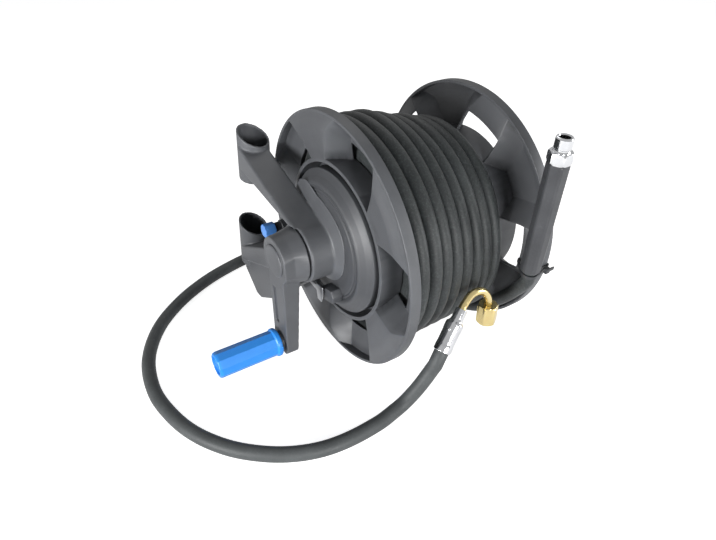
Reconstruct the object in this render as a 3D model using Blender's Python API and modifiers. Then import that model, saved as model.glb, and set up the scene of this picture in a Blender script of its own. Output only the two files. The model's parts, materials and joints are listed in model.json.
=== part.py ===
"""Hose reel for a pressure washer's trolley, with a crank, a one-sided tube bracket and a leader hose.

The reel is drawn about its axle: X runs along the axle from the crank towards the far flange, Y runs
towards the bracket's sockets and Z is up. All lengths are metres and all angles are degrees. An angle
about the axle is 0 at the front (-Y) and 90 at the top. At the end the whole reel is moved so that the
origin is the middle of its footprint on the floor.
"""

import bpy
import bmesh
from math import acos, atan2, ceil, cos, degrees, floor, hypot, pi, radians, sin, sqrt
from mathutils import Matrix, Vector

# Clearances
SEAT_GAP = 0.0003
RUN_GAP = 0.0004

# Flanges: the outer plane of the near one is x = 0
FLANGE_RADIUS = 0.130
REEL_WIDTH = 0.1686
RIM_DEPTH = 0.011
RIM_WALL = 0.003
RIM_ROUND = 0.0012
SHEET = 0.0024
PETALS = 5
PETAL_CREST = 0.0025
PETAL_HEEL = 0.0015
WINDOW_MARGIN = 0.019
POCKET_ANGLE = -2.0
POCKET_MOUTH = 24.0
POCKET_MOUTH_RIM = 16.0
POCKET_FLOOR = 15.0
POCKET_FLOOR_RIM = 14.5
POCKET_DEPTH_RING = 0.0235
POCKET_DEPTH_WINDOW = 0.017
POCKET_DEPTH_RIM = 0.008
RING_RADIUS = 0.080
RING_WALL = 0.004
RING_LIP = 0.0012
WEB_DEPTH = 0.022
WEB_WALL = 0.003
COLLAR_RADIUS = 0.015
COLLAR_LENGTH = 0.013

# Drum and wound hose
BARREL_RADIUS = 0.054
BARREL_WALL = 0.003
BARREL_LIP = 0.037
BARREL_LIP_THICK = 0.007
WOUND_RADIUS = 0.00685
WINDING_GAP = 0.0005
WINDING_START = 0.0270
WINDING_STOP = 0.0420
WINDING_START_ANGLE = -60.0
WINDING_END_ANGLE = 150.0
WINDING_STEP_ANGLES = (120.0, 300.0)
LOOP_POINTS = 24

# Places along the drum, and at four angles how far below the rim the outer layer lies at each of them
# and at the layer's end: the coil hangs loose at the bottom and steps down at the front
LAYER_PLACES = (0.030, 0.044, 0.056, 0.085)
LAYER_BELOW_RIM = {
    -56.0: (0.0150, 0.0152, 0.0155, 0.0163, 0.0185),
    32.0: (0.0130, 0.0130, 0.0170, 0.0230, 0.0320),
    107.0: (0.0102, 0.0105, 0.0112, 0.0207, 0.0300),
    200.0: (0.0130, 0.0130, 0.0150, 0.0210, 0.0290),
}

# Shaft and its bearings
SHAFT_RADIUS = 0.009
BUSH_WALL = 0.0034
BUSH_FLANGE = 0.017
BUSH_FLANGE_THICK = 0.003
THRUST_RADIUS = 0.0155
THRUST_THICK = 0.0015

# Bracket and its dished disc
BOSS_RADIUS = 0.030
BOSS_LENGTH = 0.0166
PLATEAU_RADIUS = 0.045
PLATEAU_FACE = 0.010
PLATEAU_RISE = 0.012
ARM_LEFT = 0.0435
ARM_RIGHT = 0.014
ARM_TANGENT = 0.0265
DISC_RADIUS = 0.0748
DISC_RIDGE = 0.0616
DISC_DISH = 0.0094
DISC_STEP = 0.0024
DISC_WALL = 0.003
DISC_SKIRT = 0.012
DISC_SCREWS = 4
DISC_SCREW_CIRCLE = 0.022
WEB_SCREWS = 3
WEB_SCREW_CIRCLE = 0.044

# Tube sockets on the bracket
SOCKET_X = -0.025
SOCKET_BORE = 0.0148
SOCKET_WALL = 0.0022
SOCKET_LENGTH = 0.050
SOCKET_LEAN = 8.0
SOCKET_STOP = 0.004
UPPER_SOCKET = (0.115, 0.079)
LOWER_SOCKET = (0.1445, -0.040)
SOCKET_CUT = (0.28, -0.53, 1.0)
FOOT_HEEL = (0.088, 0.0183)
FOOT_SOLE = (0.119, 0.131)
FOOT_TIP = (0.160, 0.0243)

# Crank and hand grip
CRANK_GAP = 0.0014
CRANK_BOSS_FRONT = 0.024
CRANK_BOSS_BACK = 0.028
CRANK_BOSS_LENGTH = 0.024
CRANK_RADIUS = 0.101
CRANK_LEAN = 2.2
CRANK_ARM_WIDTH = 0.030
CRANK_ARM_THICK = 0.019
CRANK_TAPER = 3.6
CRANK_TAPER_START = 0.026
CRANK_GROOVE = (0.034, 0.079)
CRANK_GROOVE_WIDTH = 0.007
CRANK_GROOVE_OFFSET = 0.005
CRANK_GROOVE_DEPTH = 0.0022
CRANK_CAP_RADIUS = 0.0165
CRANK_CAP_SEAT = 0.0018
CRANK_WELL = 0.0052
CRANK_WELL_RADIUS = 0.0062
CRANK_SCREW = 0.0022
GRIP_RADIUS = 0.0136
GRIP_COLLAR = 0.0152
GRIP_LENGTH = 0.068
GRIP_GAP = 0.004
GRIP_PIN = 0.0052
GRIP_FLATS = 10

# Lock knob
LOCK_PLACE = (0.0643, -0.005)
LOCK_PIN = 0.0028
LOCK_HOUSING = 0.0055
LOCK_HOUSING_END = 0.0365
LOCK_COLLAR = 0.0070
LOCK_COLLAR_END = 0.0260
LOCK_CAP_RADIUS = 0.0072
LOCK_CAP_LENGTH = 0.012
LOCK_CAP_FLOOR = 0.0019
LOCK_FRONT = 0.0455
LOCK_HOLES = 12
LOCK_HOLE = 0.0040

# Tail of the wound hose, tied inside the far flange
TAIL_INSET = 0.0231
TAIL_BELOW_RIM = 0.008
TAIL_RIM_ANGLE = -36.0
SLEEVE_RADIUS = 0.0107
SLEEVE_INSET = 0.0246
SLEEVE_FOOT = (-0.001, -0.014)
SLEEVE_TOP = (0.0074, 0.100)
FITTING_HEX = 0.0112
FITTING_HEX_LENGTH = 0.0105
FITTING_NIPPLE = 0.0077
FITTING_LENGTH = 0.0235
FITTING_BORE = 0.0050
TIE_ANGLE = -8.0
TIE_WIRE = 0.0012

# Water inlet and leader hose
HOSE_RADIUS = 0.00715
INLET_REACH = 0.0234
INLET_RADIUS = 0.0105
INLET_OUTLET = 0.030
SPIGOT_RADIUS = 0.0070
CRIMP_RADIUS = 0.0092
CRIMP_LENGTH = 0.025
FERRULE_START = (0.0389, -0.1303, -0.0660)
FERRULE_END = (0.0585, -0.1247, -0.0425)
FERRULE_RADIUS = 0.0088
GOOSENECK_RADIUS = 0.0038
NUT_PLACE = (0.1042, -0.1192)
NUT_TOP = -0.0452
NUT_LENGTH = 0.023
NUT_RADIUS = 0.0104
NUT_BORE = 0.0077

COLLECTION = "hose_reel"
X_AXIS = Matrix(((0, 0, 1), (0, 1, 0), (-1, 0, 0))).to_4x4()
SIDE_PLANE = Matrix(((0, 0, 1), (1, 0, 0), (0, 1, 0))).to_4x4()


# Scene and materials

for old in list(bpy.data.objects):
    bpy.data.objects.remove(old, do_unlink=True)

PARTS = bpy.data.collections.new(COLLECTION)
GUIDES = bpy.data.collections.new(COLLECTION + "_cutters")
bpy.context.scene.collection.children.link(PARTS)
bpy.context.scene.collection.children.link(GUIDES)
REEL = bpy.data.objects.new("reel_frame", None)
PARTS.objects.link(REEL)
SPOOL = bpy.data.objects.new("spool_axis", None)
PARTS.objects.link(SPOOL)
SPOOL.parent = REEL


def material(name, colour, roughness, metallic=0.0):
    """A Principled material with one colour."""
    made = bpy.data.materials.new(name)
    made.use_nodes = True
    shader = made.node_tree.nodes["Principled BSDF"]
    shader.inputs["Base Color"].default_value = (*colour, 1.0)
    shader.inputs["Roughness"].default_value = roughness
    shader.inputs["Metallic"].default_value = metallic
    made.diffuse_color = (*colour, 1.0)
    return made


GREY_PLASTIC = material("grey_plastic", (0.145, 0.150, 0.155), 0.50)
DARK_PLASTIC = material("dark_plastic", (0.020, 0.022, 0.028), 0.45)
BLUE_PLASTIC = material("blue_plastic", (0.035, 0.320, 1.000), 0.35)
RUBBER = material("hose_rubber", (0.050, 0.054, 0.056), 0.60)
SLEEVE_RUBBER = material("sleeve_rubber", (0.100, 0.100, 0.105), 0.55)
STEEL = material("zinc_steel", (0.55, 0.56, 0.58), 0.35, 1.0)
SILVER = material("bright_silver", (0.85, 0.86, 0.88), 0.20, 1.0)
BRASS = material("brass", (0.80, 0.58, 0.22), 0.25, 1.0)
BRONZE = material("bearing_bronze", (0.42, 0.27, 0.12), 0.45, 1.0)


# Making shapes

def place(obj, finish=None):
    """Put a solid with the reel's parts, or without a finish with its cutters."""
    if finish is None:
        GUIDES.objects.link(obj)
        obj.hide_render = True
        obj.display_type = "WIRE"
    else:
        PARTS.objects.link(obj)
        obj.data.materials.clear()
        obj.data.materials.append(finish)
    obj.parent = REEL
    return obj


def evaluated_mesh(obj):
    """The mesh that an object's modifiers or curve make, with its caps welded."""
    bpy.context.view_layer.update()
    graph = bpy.context.evaluated_depsgraph_get()
    mesh = bpy.data.meshes.new_from_object(obj.evaluated_get(graph))
    work = bmesh.new()
    work.from_mesh(mesh)
    bmesh.ops.remove_doubles(work, verts=work.verts, dist=0.00001)
    bmesh.ops.recalc_face_normals(work, faces=work.faces)
    work.to_mesh(mesh)
    work.free()
    return mesh


def finish_curve(name, data, matrix, finish):
    """Turn curve data into a closed mesh object."""
    drawn = bpy.data.objects.new(name + "_curve", data)
    bpy.context.scene.collection.objects.link(drawn)
    drawn.matrix_world = matrix
    mesh = evaluated_mesh(drawn)
    bpy.data.objects.remove(drawn, do_unlink=True)
    made = bpy.data.objects.new(name, mesh)
    made.matrix_world = matrix
    return place(made, finish)


def down_the_outside(profile):
    """The profile's points, ordered so that the turned shape faces outwards."""
    area = 0.0
    for (x0, r0), (x1, r1) in zip(profile, profile[1:] + profile[:1]):
        area += r0 * x1 - r1 * x0
    return profile if area < 0 else profile[::-1]


def turned(name, profile, finish=None, sides=48, centre=(0.0, 0.0), frame=None):
    """Turn a closed profile of (x, radius) points about an axis along X through centre (y, z)."""
    ring = down_the_outside(profile)
    on_axis = min(r for _, r in ring) < 1e-9
    if on_axis:
        first = next(i for i, (_, r) in enumerate(ring) if r < 1e-9 and ring[i - 1][1] < 1e-9)
        ring = ring[first:] + ring[:first]
    edges = [(i, i + 1) for i in range(len(ring) - 1)]
    if not on_axis:
        edges.append((len(ring) - 1, 0))
    mesh = bpy.data.meshes.new(name)
    mesh.from_pydata([(r, 0.0, x) for x, r in ring], edges, [])
    made = bpy.data.objects.new(name, mesh)
    made.matrix_world = frame if frame else Matrix.Translation((0.0, *centre)) @ X_AXIS
    place(made, finish)
    turn = made.modifiers.new("turn", "SCREW")
    turn.axis = "Z"
    turn.steps = sides
    turn.render_steps = sides
    turn.use_merge_vertices = True
    turn.merge_threshold = 0.000005
    turn.use_smooth_shade = True
    return made


def bar(name, x0, x1, radius, finish=None, sides=24, centre=(0.0, 0.0), frame=None):
    """A plain round bar along X."""
    return turned(name, [(x0, 0.0), (x0, radius), (x1, radius), (x1, 0.0)], finish, sides, centre, frame)


def bars(name, x0, x1, radius, seats, sides=8):
    """One cutter made of equal round bars along X, centred on the (y, z) seats."""
    work = bmesh.new()
    for y, z in seats:
        middle = Matrix.Translation(((x0 + x1) / 2, y, z)) @ X_AXIS
        bmesh.ops.create_cone(work, cap_ends=True, segments=sides, radius1=radius, radius2=radius,
                              depth=abs(x1 - x0), matrix=middle)
    mesh = bpy.data.meshes.new(name)
    work.to_mesh(mesh)
    work.free()
    return place(bpy.data.objects.new(name, mesh))


def seats_round(radius, first, count):
    """Places (y, z) evenly round the axle."""
    spots = [polar(0.0, radius, first + k * 360.0 / count) for k in range(count)]
    return [(spot.y, spot.z) for spot in spots]


def tube(name, x0, x1, outer, inner, finish=None, sides=48, centre=(0.0, 0.0), frame=None):
    """A plain tube along X."""
    return turned(name, [(x0, inner), (x0, outer), (x1, outer), (x1, inner)], finish, sides, centre, frame)


def prism(name, outline, x0, x1, finish=None):
    """Extrude a flat outline of (y, z) points from x0 to x1."""
    data = bpy.data.curves.new(name, "CURVE")
    data.dimensions = "2D"
    data.fill_mode = "BOTH"
    data.extrude = abs(x1 - x0) / 2
    line = data.splines.new("POLY")
    line.points.add(len(outline) - 1)
    for point, (y, z) in zip(line.points, outline):
        point.co = (y, z, 0.0, 1.0)
    line.use_cyclic_u = True
    return finish_curve(name, data, Matrix.Translation(((x0 + x1) / 2, 0, 0)) @ SIDE_PLANE, finish)


def pipe(name, points, radius, finish=None, resolution=2, closed=False):
    """A round tube along a POLY line of points."""
    data = bpy.data.curves.new(name, "CURVE")
    data.dimensions = "3D"
    data.bevel_depth = radius
    data.bevel_resolution = resolution
    data.use_fill_caps = not closed
    line = data.splines.new("POLY")
    line.points.add(len(points) - 1)
    for point, place_3d in zip(line.points, points):
        point.co = (*place_3d, 1.0)
    line.use_cyclic_u = closed
    return finish_curve(name, data, Matrix.Identity(4), finish)


def combine(obj, other, operation):
    """Join or cut one solid with another, which becomes a guide."""
    change = obj.modifiers.new(operation.lower() + "_" + other.name, "BOOLEAN")
    change.operation = operation
    change.solver = "EXACT"
    change.object = other
    return obj


def cut(obj, *others):
    for other in others:
        combine(obj, other, "DIFFERENCE")
    return obj


def join(obj, *others):
    for other in others:
        combine(obj, other, "UNION")
    return obj


def round_edges(obj, width, angle=35.0, segments=1):
    """Round the edges that are sharper than the angle."""
    bevel = obj.modifiers.new("round", "BEVEL")
    bevel.width = width
    bevel.segments = segments
    bevel.limit_method = "ANGLE"
    bevel.angle_limit = radians(angle)
    return obj


def smooth(obj):
    """Shade a round piece smooth, with its sharp edges kept."""
    obj.data.shade_smooth()
    obj.data.set_sharp_from_angle(angle=radians(35))
    return obj


def axis_frame(start, end):
    """A frame at start whose local Z runs towards end."""
    way = (Vector(end) - Vector(start)).normalized()
    return Matrix.Translation(start) @ way.to_track_quat("Z", "X").to_matrix().to_4x4()


def polar(x, radius, angle):
    """A point at a radius and an angle about the axle."""
    return Vector((x, -radius * cos(radians(angle)), radius * sin(radians(angle))))


def through_points(knots, spacing):
    """A smooth curve through the knots, read at even spacing."""
    knots = [Vector(k) for k in knots]
    ends = [knots[0] * 2 - knots[1]] + knots + [knots[-1] * 2 - knots[-2]]
    fine = []
    for a, b, c, d in zip(ends, ends[1:], ends[2:], ends[3:]):
        for step in range(16):
            t = step / 16
            fine.append(0.5 * (b * 2 + (c - a) * t + (a * 2 - b * 5 + c * 4 - d) * t * t
                               + (b * 3 - a - c * 3 + d) * t ** 3))
    fine.append(knots[-1])
    reach = [0.0]
    for p, q in zip(fine, fine[1:]):
        reach.append(reach[-1] + (q - p).length)
    count = max(2, round(reach[-1] / spacing))
    points = []
    at = 0
    for i in range(count + 1):
        goal = reach[-1] * i / count
        while at < len(reach) - 2 and reach[at + 1] < goal:
            at += 1
        share = (goal - reach[at]) / (reach[at + 1] - reach[at])
        points.append(fine[at].lerp(fine[at + 1], share))
    return points


def tangent_point(outside, radius, side):
    """Where the line from an outside (y, z) point touches the circle about the axle."""
    base = atan2(outside[1], outside[0])
    swing = acos(radius / hypot(*outside))
    return (radius * cos(base + side * swing), radius * sin(base + side * swing))


def hull(points):
    """The convex outline round a set of flat points."""
    ordered = sorted(set(points))
    halves = []
    for run in (ordered, ordered[::-1]):
        half = []
        for p in run:
            while len(half) > 1 and ((half[-1][0] - half[-2][0]) * (p[1] - half[-2][1])
                                     - (half[-1][1] - half[-2][1]) * (p[0] - half[-2][0])) <= 0:
                half.pop()
            half.append(p)
        halves += half[:-1]
    return halves


def circle(centre, radius, count):
    """Points round a flat circle."""
    return [(centre[0] + radius * cos(2 * pi * i / count), centre[1] + radius * sin(2 * pi * i / count))
            for i in range(count)]


# Flanges

RING_OUTER = RING_RADIUS + RING_WALL
WEB_BACK = WEB_DEPTH + WEB_WALL
BAND_INNER = FLANGE_RADIUS - RIM_WALL
WINDOW_RADIUS = FLANGE_RADIUS - WINDOW_MARGIN


def flange_sheet(name, outer_x, inward):
    """The moulded sheet between ring and rim: five petals and five pockets, each with a window."""
    in_ring = RING_RADIUS + RING_WALL * 0.6
    in_band = FLANGE_RADIUS - RIM_WALL * 0.5
    rings = [
        (in_ring, PETAL_HEEL, POCKET_DEPTH_RING, POCKET_MOUTH, POCKET_FLOOR),
        (WINDOW_RADIUS, -PETAL_CREST, POCKET_DEPTH_WINDOW, POCKET_MOUTH, POCKET_FLOOR),
        (in_band, PETAL_HEEL * 0.2, POCKET_DEPTH_RIM, POCKET_MOUTH_RIM, POCKET_FLOOR_RIM),
    ]
    pitch = 360.0 / PETALS
    work = bmesh.new()
    rows = []
    for radius, petal, pocket, mouth, floor in rings:
        row = []
        for k in range(PETALS):
            middle = POCKET_ANGLE + k * pitch
            stations = [(-floor + floor * i / 2, pocket) for i in range(5)]
            stations += [(mouth + (pitch - 2 * mouth) * i / 4, petal) for i in range(5)]
            for turn, depth in stations:
                row.append(work.verts.new(polar(outer_x + inward * depth, radius, middle + turn)))
        rows.append(row)
    count = len(rows[0])
    for lower, upper in zip(rows, rows[1:]):
        for i in range(count):
            if lower is rows[0] and i % 10 < 4:
                continue
            j = (i + 1) % count
            work.faces.new((lower[i], lower[j], upper[j], upper[i]))
    mesh = bpy.data.meshes.new(name)
    work.to_mesh(mesh)
    work.free()
    return mesh


def flange(name, outer_x, inward):
    """One flange: sheet, rim band, bore ring and the web that carries barrel and shaft."""
    def at(depth):
        return outer_x + inward * depth

    made = bpy.data.objects.new(name, flange_sheet(name, outer_x, inward))
    place(made, GREY_PLASTIC)
    shell = made.modifiers.new("wall", "SOLIDIFY")
    shell.thickness = SHEET
    shell.offset = inward * sheet_side(made)
    shell.use_even_offset = True
    shell.use_quality_normals = True
    band = turned(name + "_band", [
        (at(0.0), BAND_INNER), (at(0.0), FLANGE_RADIUS - RIM_ROUND), (at(RIM_ROUND), FLANGE_RADIUS),
        (at(RIM_DEPTH), FLANGE_RADIUS), (at(RIM_DEPTH), BAND_INNER)], sides=56)
    ring = turned(name + "_ring", [
        (at(RING_LIP), RING_RADIUS), (at(RING_LIP), RING_OUTER), (at(WEB_BACK), RING_OUTER),
        (at(WEB_BACK), COLLAR_RADIUS), (at(WEB_BACK + COLLAR_LENGTH), COLLAR_RADIUS),
        (at(WEB_BACK + COLLAR_LENGTH), SHAFT_RADIUS + SEAT_GAP), (at(COLLAR_FACE), SHAFT_RADIUS + SEAT_GAP),
        (at(COLLAR_FACE), COLLAR_RADIUS), (at(WEB_DEPTH), COLLAR_RADIUS), (at(WEB_DEPTH), RING_RADIUS)],
        sides=40)
    join(made, band, ring)
    return made


def sheet_side(obj):
    """Plus one where the sheet's faces look along +X."""
    bpy.context.view_layer.update()
    lean = sum(face.normal.x * face.area for face in obj.data.polygons)
    return 1.0 if lean > 0 else -1.0


BOSS_FACE = -(PLATEAU_FACE + PLATEAU_RISE + BOSS_LENGTH)
DISC_FACE = -PLATEAU_FACE + SEAT_GAP
DISC_BACK = DISC_FACE + DISC_WALL
BUSH_BACK = DISC_BACK + SEAT_GAP + BUSH_FLANGE_THICK
THRUST_BACK = BUSH_BACK + SEAT_GAP + THRUST_THICK
COLLAR_FACE = THRUST_BACK + RUN_GAP
BUSH_OUTER = SHAFT_RADIUS + RUN_GAP + BUSH_WALL
BUSH_SEAT = BUSH_OUTER + SEAT_GAP

near_flange = flange("near_flange", 0.0, 1.0)
far_flange = flange("far_flange", REEL_WIDTH, -1.0)

lock_radius = hypot(*LOCK_PLACE)
lock_angle = degrees(atan2(LOCK_PLACE[1], -LOCK_PLACE[0]))
cut(near_flange, bars("index_holes", WEB_DEPTH - 0.004, WEB_BACK + 0.004, LOCK_HOLE,
                      seats_round(lock_radius, lock_angle, LOCK_HOLES)))

# Drum barrel, inner layers of hose and the outer layer of turns

barrel_start = WEB_BACK + SEAT_GAP
barrel_end = REEL_WIDTH - WEB_BACK - SEAT_GAP
drum_barrel = smooth(turned("drum_barrel", [
    (barrel_start, BARREL_LIP), (barrel_start, BARREL_RADIUS), (barrel_end, BARREL_RADIUS),
    (barrel_end, BARREL_LIP), (barrel_end - BARREL_LIP_THICK, BARREL_LIP),
    (barrel_end - BARREL_LIP_THICK, BARREL_RADIUS - BARREL_WALL),
    (barrel_start + BARREL_LIP_THICK, BARREL_RADIUS - BARREL_WALL), (barrel_start + BARREL_LIP_THICK, BARREL_LIP)],
    GREY_PLASTIC, 32))
first_x = WINDING_START
last_x = REEL_WIDTH - WINDING_STOP
full_turns = floor((last_x - first_x) / (2 * WOUND_RADIUS + WINDING_GAP))
turn_pitch = (last_x - first_x) / full_turns
end_angle = 360.0 * full_turns + WINDING_END_ANGLE


def eased(places, values, at):
    """A value that passes smoothly from each place's value to the next one's."""
    at = min(max(at, places[0]), places[-1])
    k = max(i for i in range(len(places) - 1) if places[i] <= at)
    share = (at - places[k]) / (places[k + 1] - places[k])
    return values[k] + (values[k + 1] - values[k]) * share * share * (3 - 2 * share)


def layer_reach(x, angle):
    """The outer layer's distance from the axle at a place along the drum and an angle about it."""
    along = LAYER_PLACES + (last_x,)
    angles = sorted(LAYER_BELOW_RIM)
    below = [eased(along, LAYER_BELOW_RIM[a], x) for a in angles]
    turn = (angle - angles[0]) % 360.0 + angles[0]
    return FLANGE_RADIUS - eased(angles + [angles[0] + 360.0], below + below[:1], turn)


def core_reach(x, angle):
    """How far the inner layers come out, just below every turn that passes near this place."""
    free = []
    for k in range(-4, 5):
        away = WOUND_RADIUS * k / 4
        free.append(layer_reach(x + away, angle) - WOUND_RADIUS - sqrt(WOUND_RADIUS ** 2 - away ** 2))
    return min(free) - SEAT_GAP


core_start = POCKET_DEPTH_RING + SHEET + 0.0005
core_end = last_x + turn_pitch * 0.6
core_places = [core_start + (core_end - core_start) * i / 8 for i in range(9)]
core_bore = (BARREL_RADIUS + SEAT_GAP) / cos(pi / LOOP_POINTS)
core_rows = []
core_work = bmesh.new()
for x, reach in [(core_start, None)] + [(x, core_reach) for x in core_places] + [(core_end, None)]:
    row = []
    for i in range(LOOP_POINTS):
        angle = 360.0 * i / LOOP_POINTS
        row.append(core_work.verts.new(polar(x, reach(x, angle) if reach else core_bore, angle)))
    core_rows.append(row)
for lower, upper in zip(core_rows, core_rows[1:] + core_rows[:1]):
    for i in range(LOOP_POINTS):
        j = (i + 1) % LOOP_POINTS
        core_work.faces.new((lower[i], lower[j], upper[j], upper[i]))
bmesh.ops.recalc_face_normals(core_work, faces=core_work.faces)
core_mesh = bpy.data.meshes.new("hose_inner_layers")
core_work.to_mesh(core_mesh)
core_work.free()
hose_core = smooth(place(bpy.data.objects.new("hose_inner_layers", core_mesh), RUBBER))


def winding_point(angle):
    """The hose's middle line in the outer layer: each turn lies straight and steps along at the back."""
    start, end = WINDING_STEP_ANGLES
    full = floor((angle - start) / 360.0)
    x = first_x + turn_pitch * (full + eased((start, end), (0.0, 1.0), angle - 360.0 * full))
    return polar(x, (layer_reach(x, angle) - WOUND_RADIUS) / cos(pi / LOOP_POINTS), angle)


steps = ceil((end_angle - WINDING_START_ANGLE) * LOOP_POINTS / 360.0)
turn_points = [winding_point(WINDING_START_ANGLE + (end_angle - WINDING_START_ANGLE) * i / steps)
               for i in range(steps + 1)]
lead_in = (turn_points[0] - turn_points[1]).normalized() * 2 * WOUND_RADIUS
winding_points = [turn_points[0] + lead_in] + turn_points
wound_hose = pipe("wound_hose", winding_points, WOUND_RADIUS, RUBBER, 1)

least = min((p - q).length for i, p in enumerate(winding_points) for q in winding_points[i + LOOP_POINTS // 2:])
print(f"wound_hose: {steps / LOOP_POINTS:.2f} turns, least gap to itself {1000 * (least - 2 * WOUND_RADIUS):.2f} mm")

# Tail of the working hose: from the last turn out to the rim, then up through its sleeve

sleeve_x = REEL_WIDTH - SLEEVE_INSET
foot = Vector((sleeve_x, -(FLANGE_RADIUS + SLEEVE_FOOT[0]), SLEEVE_FOOT[1]))
top = Vector((sleeve_x, -(FLANGE_RADIUS + SLEEVE_TOP[0]), SLEEVE_TOP[1]))
sleeve_way = (top - foot).normalized()
tail_way = (winding_points[-1] - winding_points[-2]).normalized()
tail_start = winding_points[-1] + tail_way * SEAT_GAP
tail_knots = [tail_start + tail_way * 2 * WOUND_RADIUS]
tail_x = REEL_WIDTH - TAIL_INSET
rim_radius = FLANGE_RADIUS - TAIL_BELOW_RIM
for step in range(2, 10):
    angle = WINDING_END_ANGLE + (360.0 + TAIL_RIM_ANGLE - WINDING_END_ANGLE) * step / 9
    onward = winding_point(angle + 360.0 * full_turns)
    onward_radius = hypot(onward.y, onward.z)
    ease = eased((0.0, 9.0), (0.0, 1.0), step)
    tail_knots.append(polar(onward.x + (tail_x - onward.x) * ease,
                            onward_radius + (rim_radius - onward_radius) * ease, angle))
tail_knots += [polar(tail_x - 0.0005, (rim_radius + FLANGE_RADIUS) / 2, TAIL_RIM_ANGLE * 0.63),
               foot - sleeve_way * 0.014, foot, foot + sleeve_way * 0.03, top - sleeve_way * SEAT_GAP]
tail_points = [tail_start] + through_points(tail_knots, 0.0145)
working_tail = pipe("working_hose_tail", tail_points, WOUND_RADIUS, RUBBER, 2)

sleeve_bore = WOUND_RADIUS + SEAT_GAP
sleeve_length = (top - foot).length
sleeve_frame = axis_frame(foot, top)
tail_sleeve = smooth(turned("tail_sleeve", [
    (0.0, sleeve_bore), (0.0, SLEEVE_RADIUS - 0.001), (0.001, SLEEVE_RADIUS),
    (sleeve_length, SLEEVE_RADIUS), (sleeve_length, sleeve_bore)], SLEEVE_RUBBER, 20, frame=sleeve_frame))
fitting_base = sleeve_length + SEAT_GAP
hex_end = fitting_base + FITTING_HEX_LENGTH
tail_fitting = turned("tail_fitting", [
    (fitting_base, 0.0), (fitting_base, FITTING_HEX), (hex_end - 0.001, FITTING_HEX),
    (hex_end, FITTING_HEX - 0.0012), (hex_end, 0.0)], SILVER, 6, frame=sleeve_frame)
nipple = turned("fitting_nipple", [
    (hex_end - 0.002, 0.0), (hex_end - 0.002, FITTING_NIPPLE), (fitting_base + FITTING_LENGTH - 0.001, FITTING_NIPPLE),
    (fitting_base + FITTING_LENGTH, FITTING_NIPPLE - 0.001), (fitting_base + FITTING_LENGTH, 0.0)], sides=24,
    frame=sleeve_frame)
fitting_bore = bar("fitting_bore", fitting_base + 0.004, fitting_base + FITTING_LENGTH + 0.01, FITTING_BORE, None, 16,
                   frame=sleeve_frame)
cut(join(tail_fitting, nipple), fitting_bore)

# Cable tie round the tail and the far rim, through a window

tie_slack = TIE_WIRE + SEAT_GAP
tail_at_tie = min(tail_points[len(tail_points) // 2:],
                  key=lambda p: abs(degrees(atan2(p.z, -p.y)) - TIE_ANGLE))
hug = [(tail_at_tie.x, hypot(tail_at_tie.y, tail_at_tie.z))]
loop = circle(hug[0], (WOUND_RADIUS + tie_slack) / cos(pi / 16), 16)
for corner in ((REEL_WIDTH, FLANGE_RADIUS), (REEL_WIDTH, BAND_INNER),
               (REEL_WIDTH - POCKET_DEPTH_WINDOW - SHEET, WINDOW_RADIUS),
               (REEL_WIDTH - POCKET_DEPTH_WINDOW, WINDOW_RADIUS)):
    loop += circle(corner, tie_slack + SEAT_GAP, 8)
tie_line = [polar(x, r, TIE_ANGLE) for x, r in hull(loop)]
cable_tie = pipe("cable_tie", tie_line, TIE_WIRE, DARK_PLASTIC, 1, closed=True)
tie_head = bmesh.new()
bmesh.ops.create_cube(tie_head, size=1.0)
head_mesh = bpy.data.meshes.new("tie_head")
bmesh.ops.scale(tie_head, vec=(0.0045, 0.006, 0.0055), verts=tie_head.verts)
tie_head.to_mesh(head_mesh)
tie_head.free()
head = place(bpy.data.objects.new("tie_head", head_mesh))
head.matrix_world = Matrix.Translation(polar(REEL_WIDTH - 0.006, FLANGE_RADIUS + tie_slack + 0.0035, TIE_ANGLE))
join(cable_tie, head)

# Bracket: boss, sloping plateau, two arms, a foot web and two oblique tube sockets

lean = radians(SOCKET_LEAN)
socket_way = Vector((0.0, -sin(lean), cos(lean)))
socket_outer = SOCKET_BORE + SOCKET_WALL
cut_way = Vector(SOCKET_CUT).normalized()


def socket_frame(mouth):
    """A frame at the middle of a socket's mouth, with local Z up the socket."""
    start = Vector((SOCKET_X, *mouth))
    return axis_frame(start, start + socket_way)


def socket_body(name, mouth, length):
    """The outside of one tube socket, cut off obliquely at its mouth."""
    body = bar(name, -length, 0.014, socket_outer, None, 32, frame=socket_frame(mouth))
    block = bmesh.new()
    bmesh.ops.create_cube(block, size=0.1)
    bmesh.ops.translate(block, vec=(0, 0, 0.05), verts=block.verts)
    mesh = bpy.data.meshes.new(name + "_mouth")
    block.to_mesh(mesh)
    block.free()
    trim = place(bpy.data.objects.new(name + "_mouth", mesh))
    start = Vector((SOCKET_X, *mouth))
    trim.matrix_world = axis_frame(start, start + cut_way)
    return cut(body, trim)


def socket_spot(mouth, depth, across):
    """A (y, z) point beside a socket's middle line, at a depth below its mouth."""
    start = Vector((0.0, *mouth)) - socket_way * depth
    return (start.y + across * socket_way.z, start.z - across * socket_way.y)


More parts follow.
